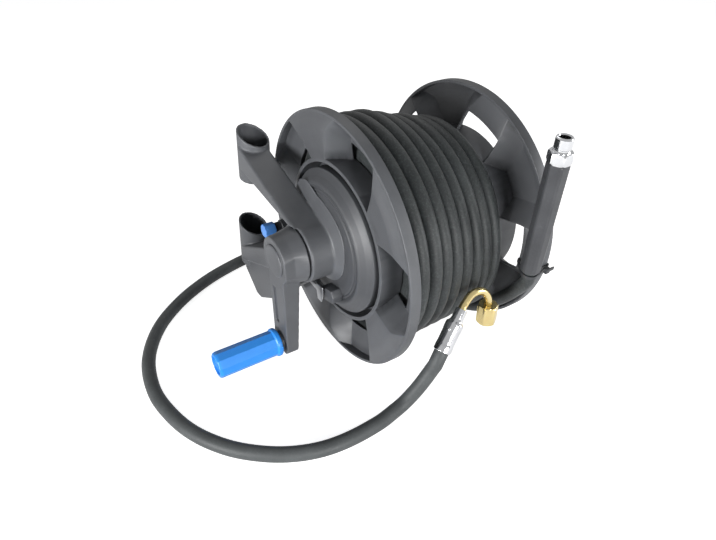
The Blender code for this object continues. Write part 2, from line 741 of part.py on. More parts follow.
boss = turned("bracket_boss", [
    (BOSS_FACE, 0.0), (BOSS_FACE, BOSS_RADIUS - 0.0012), (BOSS_FACE + 0.0012, BOSS_RADIUS),
    (-PLATEAU_FACE - PLATEAU_RISE, BOSS_RADIUS), (-PLATEAU_FACE, PLATEAU_RADIUS), (-PLATEAU_FACE, 0.0)], sides=40)
upper_tip = socket_spot(UPPER_SOCKET, 0.008, 0.0)
upper_heel = socket_spot(UPPER_SOCKET, 0.034, 0.0)
upper_arm = round_edges(prism("upper_arm", [
    tangent_point(upper_tip, ARM_TANGENT, 1), tangent_point(upper_heel, ARM_TANGENT, 1), upper_heel, upper_tip],
    -ARM_LEFT, -ARM_RIGHT), 0.0015)
lower_tip = socket_spot(LOWER_SOCKET, 0.028, 0.0)
lower_heel = socket_spot(LOWER_SOCKET, SOCKET_LENGTH - 0.001, 0.0)
lower_arm = round_edges(prism("lower_arm", [
    (0.0, 0.004), tangent_point(lower_heel, ARM_TANGENT, -1), lower_heel, lower_tip],
    -ARM_LEFT, -ARM_RIGHT), 0.0015)
crank_clear = bar("crank_clearance", -0.06, BOSS_FACE + 0.0005, CRANK_BOSS_BACK + 0.0016, None, 40)
cut(upper_arm, crank_clear)
cut(lower_arm, crank_clear)
foot_floor = 0.0003 - FLANGE_RADIUS
foot_heel = (FOOT_HEEL[0], FOOT_HEEL[1] - FLANGE_RADIUS)
foot_web = round_edges(prism("foot_web", [
    tangent_point(foot_heel, BOSS_RADIUS - 0.001, -1), foot_heel, (FOOT_SOLE[0], foot_floor),
    (FOOT_SOLE[1], foot_floor), (FOOT_TIP[0], FOOT_TIP[1] - FLANGE_RADIUS), lower_heel, (0.02, 0.0)],
    -0.037, -0.019), 0.0012)
upper_body = socket_body("upper_socket", UPPER_SOCKET, SOCKET_LENGTH)
lower_body = socket_body("lower_socket", LOWER_SOCKET, SOCKET_LENGTH + SOCKET_STOP)
upper_bore = bar("upper_socket_bore", -SOCKET_LENGTH - 0.01, 0.03, SOCKET_BORE, None, 32,
                 frame=socket_frame(UPPER_SOCKET))
lower_bore = bar("lower_socket_bore", -SOCKET_LENGTH, 0.03, SOCKET_BORE, None, 32,
                 frame=socket_frame(LOWER_SOCKET))
bush_bore = bar("bush_bore", BOSS_FACE - 0.01, 0.01, BUSH_SEAT, None, 32)

mounting_bracket = bar("mounting_bracket", BOSS_FACE + 0.003, -PLATEAU_FACE - 0.002, BOSS_RADIUS - 0.004,
                       GREY_PLASTIC, 32)
join(mounting_bracket, boss, upper_arm, lower_arm, foot_web, upper_body, lower_body)
cut(mounting_bracket, upper_bore, lower_bore, bush_bore)

# Dished disc behind the bracket, inside the near flange's ring

hub_disc = smooth(turned("hub_disc", [
    (DISC_FACE, BUSH_SEAT), (DISC_FACE, PLATEAU_RADIUS + 0.002), (-DISC_DISH + DISC_STEP, DISC_RIDGE - 0.0045),
    (-DISC_DISH, DISC_RIDGE), (-DISC_DISH + 0.0022, DISC_RIDGE + 0.0022), (0.0, DISC_RADIUS),
    (DISC_SKIRT, DISC_RADIUS), (DISC_SKIRT, DISC_RADIUS - DISC_WALL), (DISC_WALL, DISC_RADIUS - DISC_WALL),
    (DISC_WALL - DISC_DISH, DISC_RIDGE - 0.001), (DISC_BACK, DISC_RIDGE - 0.006), (DISC_BACK, BUSH_SEAT)],
    GREY_PLASTIC, 36))
lock_hole = bar("lock_hole", -0.03, 0.02, LOCK_HOUSING + SEAT_GAP, None, 20, LOCK_PLACE)
cut(hub_disc, lock_hole)

screw_head = 0.0036
screw_shank = 0.0017
disc_seats = seats_round(DISC_SCREW_CIRCLE, 45.0, DISC_SCREWS)
disc_screw_holes = bars("disc_screw_holes", -0.0245, 0.0, screw_shank + SEAT_GAP, disc_seats)
cut(hub_disc, disc_screw_holes)
cut(mounting_bracket, disc_screw_holes)
for k, seat in enumerate(disc_seats):
    smooth(turned(f"disc_screw_{k + 1}", [
        (-0.0240, 0.0), (-0.0240, screw_shank), (DISC_BACK + SEAT_GAP, screw_shank),
        (DISC_BACK + SEAT_GAP, screw_head), (DISC_BACK + 0.0018, screw_head), (DISC_BACK + 0.0024, screw_head * 0.6),
        (DISC_BACK + 0.0024, 0.0)], STEEL, 12, seat))

# Bush, thrust washer, shaft and water inlet

hub_bush = smooth(turned("hub_bush", [
    (BOSS_FACE, BUSH_OUTER - 0.0005), (BOSS_FACE, SHAFT_RADIUS + RUN_GAP),
    (BUSH_BACK, SHAFT_RADIUS + RUN_GAP), (BUSH_BACK, BUSH_FLANGE),
    (BUSH_BACK - BUSH_FLANGE_THICK, BUSH_FLANGE), (BUSH_BACK - BUSH_FLANGE_THICK, BUSH_OUTER)], BRONZE, 24))
thrust_washer = smooth(tube("thrust_washer", BUSH_BACK + SEAT_GAP, THRUST_BACK, THRUST_RADIUS,
                            SHAFT_RADIUS + SEAT_GAP, STEEL, 24))

crank_back = BOSS_FACE - CRANK_GAP
crank_front = crank_back - CRANK_BOSS_LENGTH
shaft_tip = crank_back - CRANK_BOSS_LENGTH * 0.72
shaft_end = REEL_WIDTH - COLLAR_FACE
spigot_shank = 0.018
centre_shaft = smooth(turned("centre_shaft", [
    (shaft_tip, 0.0), (shaft_tip, SHAFT_RADIUS - 0.0006), (shaft_tip + 0.0006, SHAFT_RADIUS),
    (shaft_end, SHAFT_RADIUS), (shaft_end, SPIGOT_RADIUS - 0.0015 + SEAT_GAP),
    (shaft_end - spigot_shank, SPIGOT_RADIUS - 0.0015 + SEAT_GAP), (shaft_end - spigot_shank, 0.0)], STEEL, 24))
spigot_end = REEL_WIDTH + INLET_REACH - 0.008
inlet_spigot = turned("inlet_spigot", [
    (shaft_end - spigot_shank + SEAT_GAP, 0.0), (shaft_end - spigot_shank + SEAT_GAP, SPIGOT_RADIUS - 0.0015),
    (shaft_end + SEAT_GAP, SPIGOT_RADIUS - 0.0015), (shaft_end + SEAT_GAP, 0.0125),
    (shaft_end + 0.006, 0.0125), (shaft_end + 0.006, SPIGOT_RADIUS), (spigot_end, SPIGOT_RADIUS),
    (spigot_end, 0.0)], BRASS, 24)

inlet_x = REEL_WIDTH + INLET_REACH
inlet_face = shaft_end + 0.006 + RUN_GAP
inlet_elbow = turned("inlet_elbow", [
    (inlet_face, SPIGOT_RADIUS + 0.0005), (inlet_face, INLET_RADIUS), (inlet_x + 0.009, INLET_RADIUS),
    (inlet_x + 0.0115, INLET_RADIUS - 0.0025), (inlet_x + 0.0115, 0.0), (spigot_end + RUN_GAP, 0.0),
    (spigot_end + RUN_GAP, SPIGOT_RADIUS + 0.0005)], BRASS, 24)
branch_frame = axis_frame((inlet_x, 0.0, 0.0), (inlet_x, 1.0, 0.0))
branch = turned("inlet_branch", [
    (0.002, 0.0), (0.002, 0.0078), (0.013, 0.0078), (0.014, 0.0090), (INLET_OUTLET, 0.0090),
    (INLET_OUTLET, 0.0)], None, 20, frame=branch_frame)
join(inlet_elbow, branch)
crimp_start = INLET_OUTLET + SEAT_GAP
crimp_end = crimp_start + CRIMP_LENGTH
inlet_crimp = smooth(turned("inlet_crimp", [
    (crimp_start, 0.0), (crimp_start, CRIMP_RADIUS), (crimp_start + 0.006, CRIMP_RADIUS),
    (crimp_start + 0.007, CRIMP_RADIUS - 0.0008), (crimp_start + 0.018, CRIMP_RADIUS - 0.0008),
    (crimp_start + 0.019, CRIMP_RADIUS), (crimp_end, CRIMP_RADIUS), (crimp_end, 0.0)],
    SILVER, 20, frame=branch_frame))

# Screws that hold each web to the lips inside the barrel's ends

web_seats = seats_round(WEB_SCREW_CIRCLE, 30.0, WEB_SCREWS)
for label, web, face, into in (("near", near_flange, WEB_DEPTH, 1.0),
                               ("far", far_flange, REEL_WIDTH - WEB_DEPTH, -1.0)):
    end = face + into * (WEB_WALL + BARREL_LIP_THICK * 0.8)
    holes = bars(f"{label}_web_screw_holes", face - into * 0.004, end + into * 0.0005, screw_shank + SEAT_GAP,
                 web_seats)
    cut(web, holes)
    cut(drum_barrel, holes)
    for k, seat in enumerate(web_seats):
        smooth(turned(f"{label}_web_screw_{k + 1}", [
            (end, 0.0), (end, screw_shank), (face - into * SEAT_GAP, screw_shank),
            (face - into * SEAT_GAP, screw_head), (face - into * 0.0020, screw_head),
            (face - into * 0.0027, screw_head * 0.6), (face - into * 0.0027, 0.0)], STEEL, 10, seat))

# Crank: a boss on the shaft and an arm with a lengthwise groove

crank_turn = Matrix.Rotation(radians(CRANK_LEAN), 4, "X")
grip_axis = crank_turn @ Vector((0.0, 0.0, -CRANK_RADIUS))
grip_seat = (grip_axis.y, grip_axis.z)
half = CRANK_ARM_WIDTH / 2
arm_top = crank_front + CRANK_ARM_THICK
arm_foot = -CRANK_RADIUS - half + 0.001
arm_head = -CRANK_CAP_RADIUS - 0.002
arm_outline = [(half, arm_head), (half, arm_foot + 0.006), (half - 0.006, arm_foot), (0.006 - half, arm_foot),
               (-half, arm_foot + 0.006), (-half, arm_head)]
crank_arm = round_edges(prism("crank_arm", arm_outline, crank_front, arm_top, GREY_PLASTIC), 0.0012)
crank_arm.matrix_world = crank_turn @ crank_arm.matrix_world
taper = prism("crank_arm_taper", [(-2 * half, 0.0), (2 * half, 0.0), (2 * half, -2 * CRANK_RADIUS),
                                  (-2 * half, -2 * CRANK_RADIUS)], 0.0, CRANK_ARM_THICK)
taper.matrix_world = (crank_turn @ Matrix.Translation((arm_top - 0.001, 0.0, -CRANK_TAPER_START))
                      @ Matrix.Rotation(radians(CRANK_TAPER), 4, "Y") @ taper.matrix_world)
groove_left = CRANK_GROOVE_OFFSET - CRANK_GROOVE_WIDTH / 2
groove_right = CRANK_GROOVE_OFFSET + CRANK_GROOVE_WIDTH / 2
groove = prism("crank_groove", [(groove_left, -CRANK_GROOVE[0]), (groove_right, -CRANK_GROOVE[0]),
                                (groove_right, -CRANK_GROOVE[1]), (groove_left, -CRANK_GROOVE[1])],
               crank_front - 0.002, crank_front + CRANK_GROOVE_DEPTH)
groove.matrix_world = crank_turn @ groove.matrix_world
cut(crank_arm, taper, groove)
seat_floor = crank_front + CRANK_CAP_SEAT
well_floor = crank_front + CRANK_WELL
bore_floor = shaft_tip - SEAT_GAP
crank_hub = turned("crank_hub", [
    (crank_front, CRANK_CAP_RADIUS + SEAT_GAP), (crank_front, CRANK_BOSS_FRONT - 0.002),
    (crank_front + 0.002, CRANK_BOSS_FRONT), (crank_back, CRANK_BOSS_BACK), (crank_back, SHAFT_RADIUS + SEAT_GAP),
    (bore_floor, SHAFT_RADIUS + SEAT_GAP), (bore_floor, CRANK_SCREW + SEAT_GAP),
    (well_floor, CRANK_SCREW + SEAT_GAP), (well_floor, CRANK_WELL_RADIUS), (seat_floor, CRANK_WELL_RADIUS),
    (seat_floor, CRANK_CAP_RADIUS + SEAT_GAP)], sides=32)
pin_bore = bar("grip_pin_bore", crank_front - 0.01, crank_front + 0.012, GRIP_PIN + SEAT_GAP, None, 20, grip_seat)
cut(join(crank_arm, crank_hub), pin_bore)
cut(centre_shaft, bar("crank_screw_thread", shaft_tip - 0.01, shaft_tip + 0.0125, CRANK_SCREW + SEAT_GAP, None,
                      12))
crank_screw = smooth(turned("crank_screw", [
    (shaft_tip + 0.012, 0.0), (shaft_tip + 0.012, CRANK_SCREW), (well_floor - SEAT_GAP, CRANK_SCREW),
    (well_floor - SEAT_GAP, CRANK_WELL_RADIUS - 0.0006), (well_floor - 0.0028, CRANK_WELL_RADIUS - 0.0006),
    (well_floor - 0.0028, 0.0)], STEEL, 16))
crank_cap = smooth(turned("crank_cap", [
    (seat_floor - SEAT_GAP, 0.0), (seat_floor - SEAT_GAP, CRANK_CAP_RADIUS), (crank_front + 0.0002, CRANK_CAP_RADIUS),
    (crank_front - 0.0008, CRANK_CAP_RADIUS - 0.0012), (crank_front - 0.0008, 0.0)], GREY_PLASTIC, 32))

# Hand grip, free to turn on its pin

grip_near = crank_front - GRIP_GAP
grip_far = grip_near - GRIP_LENGTH
grip_pin = smooth(bar("grip_pin", grip_far + 0.010, crank_front + 0.0115, GRIP_PIN, STEEL, 20, grip_seat))
grip_washer = smooth(tube("grip_washer", crank_front - GRIP_GAP + RUN_GAP, crank_front - SEAT_GAP, 0.0105,
                          GRIP_PIN + SEAT_GAP, DARK_PLASTIC, 20, grip_seat))
hand_grip = turned("hand_grip", [
    (grip_near, GRIP_PIN + RUN_GAP), (grip_near, GRIP_COLLAR - 0.001), (grip_near - 0.001, GRIP_COLLAR),
    (grip_near - 0.0045, GRIP_COLLAR), (grip_near - 0.006, GRIP_RADIUS), (grip_far + 0.003, GRIP_RADIUS),
    (grip_far, GRIP_RADIUS - 0.003), (grip_far, 0.0), (grip_far + 0.010 - RUN_GAP, 0.0),
    (grip_far + 0.010 - RUN_GAP, GRIP_PIN + RUN_GAP)], BLUE_PLASTIC, 2 * GRIP_FLATS, grip_seat)

# Lock knob: a pin in a housing on the disc, which slides into the web's index holes

lock_bore = LOCK_PIN + RUN_GAP
lock_housing = smooth(turned("lock_housing", [
    (-LOCK_HOUSING_END, lock_bore), (-LOCK_HOUSING_END, LOCK_HOUSING), (-LOCK_COLLAR_END, LOCK_HOUSING),
    (-LOCK_COLLAR_END, LOCK_COLLAR), (-DISC_DISH - SEAT_GAP, LOCK_COLLAR), (-DISC_DISH - SEAT_GAP, LOCK_HOUSING),
    (0.0015, LOCK_HOUSING), (0.0015, lock_bore)], DARK_PLASTIC, 20, LOCK_PLACE))
cap_back = -LOCK_FRONT + LOCK_CAP_LENGTH
cap_floor = -LOCK_FRONT + LOCK_CAP_FLOOR
pin_head = cap_floor - 0.0008
pin_tip = WEB_DEPTH - 0.0045
lock_pin = smooth(turned("lock_pin", [
    (pin_head, 0.0), (pin_head, LOCK_PIN), (pin_tip - 0.0015, LOCK_PIN), (pin_tip, LOCK_PIN * 0.5),
    (pin_tip, 0.0)], STEEL, 16, LOCK_PLACE))
lock_knob = turned("lock_knob", [
    (-LOCK_FRONT, 0.0), (-LOCK_FRONT, LOCK_CAP_RADIUS - 0.001), (-LOCK_FRONT + 0.001, LOCK_CAP_RADIUS),
    (cap_back, LOCK_CAP_RADIUS), (cap_back, LOCK_HOUSING + RUN_GAP), (cap_floor, LOCK_HOUSING + RUN_GAP),
    (cap_floor, LOCK_PIN + SEAT_GAP), (pin_head - SEAT_GAP, LOCK_PIN + SEAT_GAP), (pin_head - SEAT_GAP, 0.0)],
    BLUE_PLASTIC, 10, LOCK_PLACE)

# Leader hose: from the inlet behind the reel, round on the floor, up to its ferrule

floor_lift = HOSE_RADIUS + 0.0002 - FLANGE_RADIUS
leader_start = Vector((inlet_x, crimp_end + SEAT_GAP, 0.0))
leader_knots = [
    leader_start + Vector((0.0, 2 * HOSE_RADIUS, 0.0)), (0.1917, 0.088, -0.014), (0.191, 0.110, -0.036),
    (0.188, 0.138, -0.067), (0.180, 0.162, -0.095), (0.165, 0.182, -0.114),
    (0.145, 0.196, floor_lift), (0.115, 0.206, floor_lift), (0.080, 0.210, floor_lift),
    (0.040, 0.209, floor_lift), (0.0, 0.204, floor_lift), (-0.037, 0.197, floor_lift),
    (-0.081, 0.182, floor_lift), (-0.124, 0.157, floor_lift), (-0.161, 0.122, floor_lift),
    (-0.186, 0.077, floor_lift), (-0.195, 0.029, floor_lift), (-0.191, -0.011, floor_lift),
    (-0.180, -0.046, floor_lift), (-0.162, -0.076, floor_lift), (-0.141, -0.098, floor_lift),
    (-0.117, -0.115, floor_lift), (-0.090, -0.126, floor_lift), (-0.062, -0.130, floor_lift),
    (-0.031, -0.129, floor_lift), (-0.012, -0.126, floor_lift + 0.001), (0.003, -0.125, -0.117),
    (0.0171, -0.1281, -0.1006), (0.030, -0.1312, -0.0803),
]
ferrule_way = (Vector(FERRULE_END) - Vector(FERRULE_START)).normalized()
leader_end = Vector(FERRULE_START) - ferrule_way * SEAT_GAP
leader_knots.append(leader_end - ferrule_way * 2 * HOSE_RADIUS)
leader_points = [leader_start] + through_points(leader_knots, 0.0175) + [leader_end]
for point in leader_points:
    point.z = max(point.z, floor_lift)
leader_hose = pipe("leader_hose", leader_points, HOSE_RADIUS, RUBBER, 2)
length = sum((q - p).length for p, q in zip(leader_points, leader_points[1:]))
print(f"leader_hose: {len(leader_points)} points, {1000 * length:.0f} mm")

ferrule_length = (Vector(FERRULE_END) - Vector(FERRULE_START)).length
leader_ferrule = smooth(turned("leader_ferrule", [
    (0.0, 0.0), (0.0, FERRULE_RADIUS - 0.0005), (0.0005, FERRULE_RADIUS), (ferrule_length * 0.26, FERRULE_RADIUS),
    (ferrule_length * 0.29, FERRULE_RADIUS - 0.001), (ferrule_length * 0.64, FERRULE_RADIUS - 0.001),
    (ferrule_length * 0.67, FERRULE_RADIUS), (ferrule_length * 0.82, FERRULE_RADIUS),
    (ferrule_length, 0.0059), (ferrule_length, 0.0)], SILVER, 20,
    frame=axis_frame(FERRULE_START, FERRULE_END)))
neck_start = Vector(FERRULE_END) + ferrule_way * SEAT_GAP
neck_knots = [neck_start + ferrule_way * 0.004, (0.0697, -0.1208, -0.0310), (0.0797, -0.1189, -0.0207),
              (0.0885, -0.1186, -0.0185), (0.0974, -0.1183, -0.0245), (0.1028, -0.1187, -0.0342),
              (*NUT_PLACE, NUT_TOP), (*NUT_PLACE, NUT_TOP - 0.006)]
gooseneck = pipe("gooseneck", [neck_start] + through_points(neck_knots, 0.0060), GOOSENECK_RADIUS, BRASS, 2)
nut_frame = Matrix.Translation((*NUT_PLACE, 0.0))
tail_ring = turned("gooseneck_collar", [
    (NUT_TOP - 0.0043, 0.0), (NUT_TOP - 0.0043, 0.0072), (NUT_TOP - 0.0083, 0.0072), (NUT_TOP - 0.0083, 0.0)],
    None, 20, frame=nut_frame)
join(gooseneck, tail_ring)
swivel_nut = turned("swivel_nut", [
    (NUT_TOP, 0.0), (NUT_TOP, NUT_RADIUS - 0.0015), (NUT_TOP - 0.0015, NUT_RADIUS),
    (NUT_TOP - NUT_LENGTH, NUT_RADIUS), (NUT_TOP - NUT_LENGTH, 0.0)], BRASS, 6, frame=nut_frame)
cut(swivel_nut,
    bar("nut_neck_hole", NUT_TOP - 0.01, NUT_TOP + 0.01, GOOSENECK_RADIUS + RUN_GAP, None, 20, frame=nut_frame),
    bar("nut_bore", NUT_TOP - NUT_LENGTH - 0.01, NUT_TOP - 0.0040, NUT_BORE, None, 24, frame=nut_frame))

# Move the reel so that the origin is the middle of its footprint, without the free hose

CORD = {"leader_hose", "leader_ferrule", "gooseneck", "swivel_nut"}
TURNING = ("near_", "far_", "drum_", "hose_inner", "wound_", "working_", "tail_", "cable_tie", "centre_shaft",
           "inlet_spigot", "thrust_", "crank_", "grip_")
bpy.context.view_layer.update()
graph = bpy.context.evaluated_depsgraph_get()
corners = []
for obj in PARTS.objects:
    if obj.type == "MESH" and obj.name not in CORD:
        shape = obj.evaluated_get(graph)
        corners += [shape.matrix_world @ Vector(c) for c in shape.bound_box]
middle_x = (min(c.x for c in corners) + max(c.x for c in corners)) / 2
middle_y = (min(c.y for c in corners) + max(c.y for c in corners)) / 2
lowest = min(c.z for c in corners)
REEL.location = (-middle_x, -middle_y, -lowest)
for obj in list(PARTS.objects):
    if obj.name.startswith(TURNING):
        obj.parent = SPOOL
bpy.context.view_layer.update()
print(f"axle at {1000 * -middle_x:.2f}, {1000 * -middle_y:.2f}, {1000 * -lowest:.2f} mm")
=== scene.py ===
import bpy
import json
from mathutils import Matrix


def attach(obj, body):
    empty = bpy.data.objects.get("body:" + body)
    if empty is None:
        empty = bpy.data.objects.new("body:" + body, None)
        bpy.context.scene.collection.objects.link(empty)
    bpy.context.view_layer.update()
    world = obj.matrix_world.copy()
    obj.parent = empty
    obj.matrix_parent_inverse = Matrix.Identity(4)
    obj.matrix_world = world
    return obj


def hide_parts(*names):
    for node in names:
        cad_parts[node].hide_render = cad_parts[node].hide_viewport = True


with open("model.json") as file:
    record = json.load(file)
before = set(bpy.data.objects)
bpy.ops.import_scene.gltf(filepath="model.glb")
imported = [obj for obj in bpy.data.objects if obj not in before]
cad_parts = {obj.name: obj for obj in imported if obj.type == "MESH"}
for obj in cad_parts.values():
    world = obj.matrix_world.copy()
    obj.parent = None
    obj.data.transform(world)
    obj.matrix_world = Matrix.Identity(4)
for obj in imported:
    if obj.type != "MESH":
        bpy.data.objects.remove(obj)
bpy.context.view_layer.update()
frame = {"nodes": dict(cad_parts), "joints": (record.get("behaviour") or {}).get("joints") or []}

import bpy
import bmesh
import json
from math import acos, atan2, ceil, cos, degrees, floor, hypot, pi, radians, sin, sqrt
from mathutils import Matrix, Vector

# The reel is drawn about its axle, in metres: X runs along the axle from the crank to the far flange,
# Y towards the tube sockets and Z up. Each piece is then set at AXLE, where the CAD has that axle.
nodes = frame["nodes"]
AXLE = Vector(next(joint["pos_m"] for joint in frame["joints"] if joint["name"] == "spool_spin"))

# The photographer's place: close in front, to the crank's side and above, as solved from the rims, the
# sockets and the axle. The frame is the photograph's, and nothing else in this file depends on where the
# camera stands.
camera = bpy.data.objects.new("camera", bpy.data.cameras.new("camera"))
bpy.context.scene.collection.objects.link(camera)
camera.data.sensor_width = 36
camera.data.lens = 29.408
camera.location = AXLE + Vector((-0.24372, -0.43338, 0.30447))
camera.rotation_euler = (0.97184, 0.00822, -0.56855)
bpy.context.scene.camera = camera
bpy.context.scene.view_settings.view_transform = "Standard"


# Shader sums: a wire is an output socket that adds, subtracts and multiplies like a number.
# Any other node is made by its one method, which takes the type, its settings and its sockets.
class Wire:
    def __init__(self, tree, socket=None):
        self.tree = tree
        self.socket = socket

    def node(self, kind, out=0, setup=None, **sockets):
        """A node of any kind. A socket is named with _ for a space, or numbered as n0, n1."""
        made = self.tree.nodes.new("ShaderNode" + kind)
        for key, value in (setup or {}).items():
            setattr(made, key, value)
        for key, value in sockets.items():
            numbered = key[0] == "n" and key[1:].isdigit()
            target = made.inputs[int(key[1:])] if numbered else made.inputs[key.replace("_", " ")]
            if isinstance(value, Wire):
                self.tree.links.new(value.socket, target)
            else:
                target.default_value = value
        return Wire(self.tree, made.outputs[out])

    def sum(self, operation, first, second):
        return self.node("Math", setup={"operation": operation}, n0=first, n1=second)

    def __add__(self, other):
        return self.sum("ADD", self, other)

    def __radd__(self, other):
        return self.sum("ADD", other, self)

    def __sub__(self, other):
        return self.sum("SUBTRACT", self, other)

    def __rsub__(self, other):
        return self.sum("SUBTRACT", other, self)

    def __mul__(self, other):
        return self.sum("MULTIPLY", self, other)

    def held(self):
        """The same value, kept between 0 and 1."""
        return self.node("Clamp", Value=self)

    def grain(self, scale, detail=2.0, rough=0.5):
        """Cloudy noise at a scale, over the place that this wire carries."""
        return self.node("TexNoise", Vector=self, Scale=scale, Detail=detail, Roughness=rough)

    def tone(self, dark, light):
        """A colour between dark and light by this amount, from the colour sockets of a Mix node."""
        return self.node("Mix", out=2, setup={"data_type": "RGBA"}, n0=self, n6=(*dark, 1), n7=(*light, 1))

    def bumped(self, strength, depth):
        """A surface normal from this height."""
        return self.node("Bump", Height=self, Strength=strength, Distance=depth)


# The studio: a sheet of white paper on the floor, a white surround and four soft lamps. The surround
# lights the reel gently but shows pure white to the eye and in polished metal, as a light tent does.
def surface(name, **constants):
    """A new material, its shader, and a wire that carries the piece's own coordinates."""
    made = bpy.data.materials.new(name)
    made.use_nodes = True
    shader = made.node_tree.nodes["Principled BSDF"]
    for socket, value in constants.items():
        shader.inputs[socket.replace("_", " ")].default_value = value
    return made, shader, Wire(made.node_tree).node("TexCoord", out="Object")


def feed(shader, **sockets):
    """Lead wires into the shader's sockets."""
    for socket, wire in sockets.items():
        wire.tree.links.new(wire.socket, shader.inputs[socket.replace("_", " ")])


def seen_as_white(wire):
    """One to the eye and through glass, nearly half in polished metal, none where a ray lights the reel."""
    from_eye = wire.node("LightPath", out="Is Camera Ray")
    from_polish = wire.node("LightPath", out="Is Glossy Ray")
    through_glass = wire.node("LightPath", out="Is Transmission Ray")
    return (from_eye + from_polish * 0.45 + through_glass).held()


paper, paper_shader, paper_place = surface(
    "floor_paper", Roughness=0.9, Emission_Strength=0.85, Specular_IOR_Level=0.1)
feed(paper_shader, Base_Color=paper_place.grain(900.0).tone((0.90, 0.90, 0.90), (0.94, 0.94, 0.94)),
     Emission_Color=seen_as_white(paper_place).tone((0, 0, 0), (1, 1, 1)))
floor_mesh = bpy.data.meshes.new("floor")
edge = 9
floor_mesh.from_pydata([(-edge, -edge, 0), (edge, -edge, 0), (edge, edge, 0), (-edge, edge, 0)], [],
                       [(0, 1, 2, 3)])
floor_mesh.materials.append(paper)
floor_sheet = bpy.data.objects.new("floor", floor_mesh)
bpy.context.scene.collection.objects.link(floor_sheet)

surround = bpy.data.worlds.new("white_surround")
surround.use_nodes = True
bpy.context.scene.world = surround
glow = surround.node_tree.nodes["Background"]
glow.inputs["Color"].default_value = (1, 1, 1, 1)
dimmed = 0.12
strength = dimmed + seen_as_white(Wire(surround.node_tree)) * (1.0 - dimmed)
surround.node_tree.links.new(strength.socket, glow.inputs["Strength"])

# Each lamp has its name, its place, its width and its power in watts, and faces the reel.
for name, place, size, power in (
        ("lamp_above", (0.45, 0.75, 1.25), 0.8, 2.5),
        ("lamp_right", (1.35, -0.85, 0.35), 0.6, 13.0),
        ("lamp_left", (-1.55, -0.42, 0.30), 0.5, 30.0),
        ("lamp_front", (-0.20, -1.60, 0.25), 0.5, 21.0)):
    lamp = bpy.data.objects.new(name, bpy.data.lights.new(name, "AREA"))
    lamp.data.size = size
    lamp.data.energy = power
    lamp.location = place
    lamp.rotation_euler = (Vector((0.0, 0.0, 0.1)) - Vector(place)).to_track_quat("-Z", "Y").to_euler()
    bpy.context.scene.collection.objects.link(lamp)


# Leader hose: one metre of high pressure rubber hose, free from the inlet's crimp behind the reel,
# round on the floor and up to its own ferrule. Its cover is wrapped while it cures, which leaves a dull
# skin with a faint cloth print, a dusty bloom and paler rubbed places.
def through_points(knots, spacing):
    """A smooth curve through the knots, read at even spacing."""
    knots = [Vector(k) for k in knots]
    ends = [knots[0] * 2 - knots[1]] + knots + [knots[-1] * 2 - knots[-2]]
    fine = []
    steps = 16
    for a, b, c, d in zip(ends, ends[1:], ends[2:], ends[3:]):
        for step in range(steps):
            t = step / steps
            fine.append(0.5 * (b * 2 + (c - a) * t + (a * 2 - b * 5 + c * 4 - d) * t * t
                               + (b * 3 - a - c * 3 + d) * t ** 3))
    fine.append(knots[-1])
    reach = [0.0]
    for p, q in zip(fine, fine[1:]):
        reach.append(reach[-1] + (q - p).length)
    count = max(2, round(reach[-1] / spacing))
    points = []
    at = 0
    for i in range(count + 1):
        goal = reach[-1] * i / count
        while at < len(reach) - 2 and reach[at + 1] < goal:
            at += 1
        share = (goal - reach[at]) / (reach[at + 1] - reach[at])
        points.append(fine[at].lerp(fine[at + 1], share))
    return points


def drawn_pipe(name, points, radius, finish, resolution=6):
    """A round tube along points, given from the axle, with closed ends."""
    data = bpy.data.curves.new(name, "CURVE")
    data.dimensions = "3D"
    data.bevel_depth = radius
    data.bevel_resolution = resolution
    data.use_fill_caps = True
    line = data.splines.new("POLY")
    line.points.add(len(points) - 1)
    for point, place in zip(line.points, points):
        point.co = (*place, 1.0)
    line.use_smooth = True
    data.materials.append(finish)
    return bpy.data.objects.new(name, data)


def shown(obj, body, slot, *stands_for):
    """Set a finished piece at the axle, on its body, in place of the CAD solids that it stands for."""
    bpy.context.scene.collection.objects.link(obj)
    obj.location = AXLE
    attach(obj, body)
    if stands_for:
        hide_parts(*stands_for)
    return obj


def rubber(name, dark, light, rough, print_depth=0.35, speckle=0.15):
    """Cured rubber: a cloudy bloom, rubbed patches, pale specks, fine pores and a faint cloth print."""
    made, shader, place = surface(name, Sheen_Weight=0.04, Specular_IOR_Level=0.32)
    bloom = place.grain(38.0, 4.0, 0.6)
    rubbed = ((place.grain(120.0, 5.0, 0.7) - 0.60) * 5.0).held()
    pores = place.grain(1500.0, 2.0)
    cloth = place.node("TexVoronoi", Vector=place, Scale=1400.0)
    speck = ((place.grain(520.0, 2.0, 0.7) - 0.50) * 3.2).held()
    paler = (bloom * 0.55 + rubbed * 0.4 + pores * 0.10 + speck * speckle).held()
    feed(shader, Base_Color=paler.tone(dark, light), Roughness=rough + bloom * 0.16 - rubbed * 0.05,
         Normal=(pores + bloom * 0.3 + cloth * 0.4).bumped(print_depth, 0.0003))
    return made


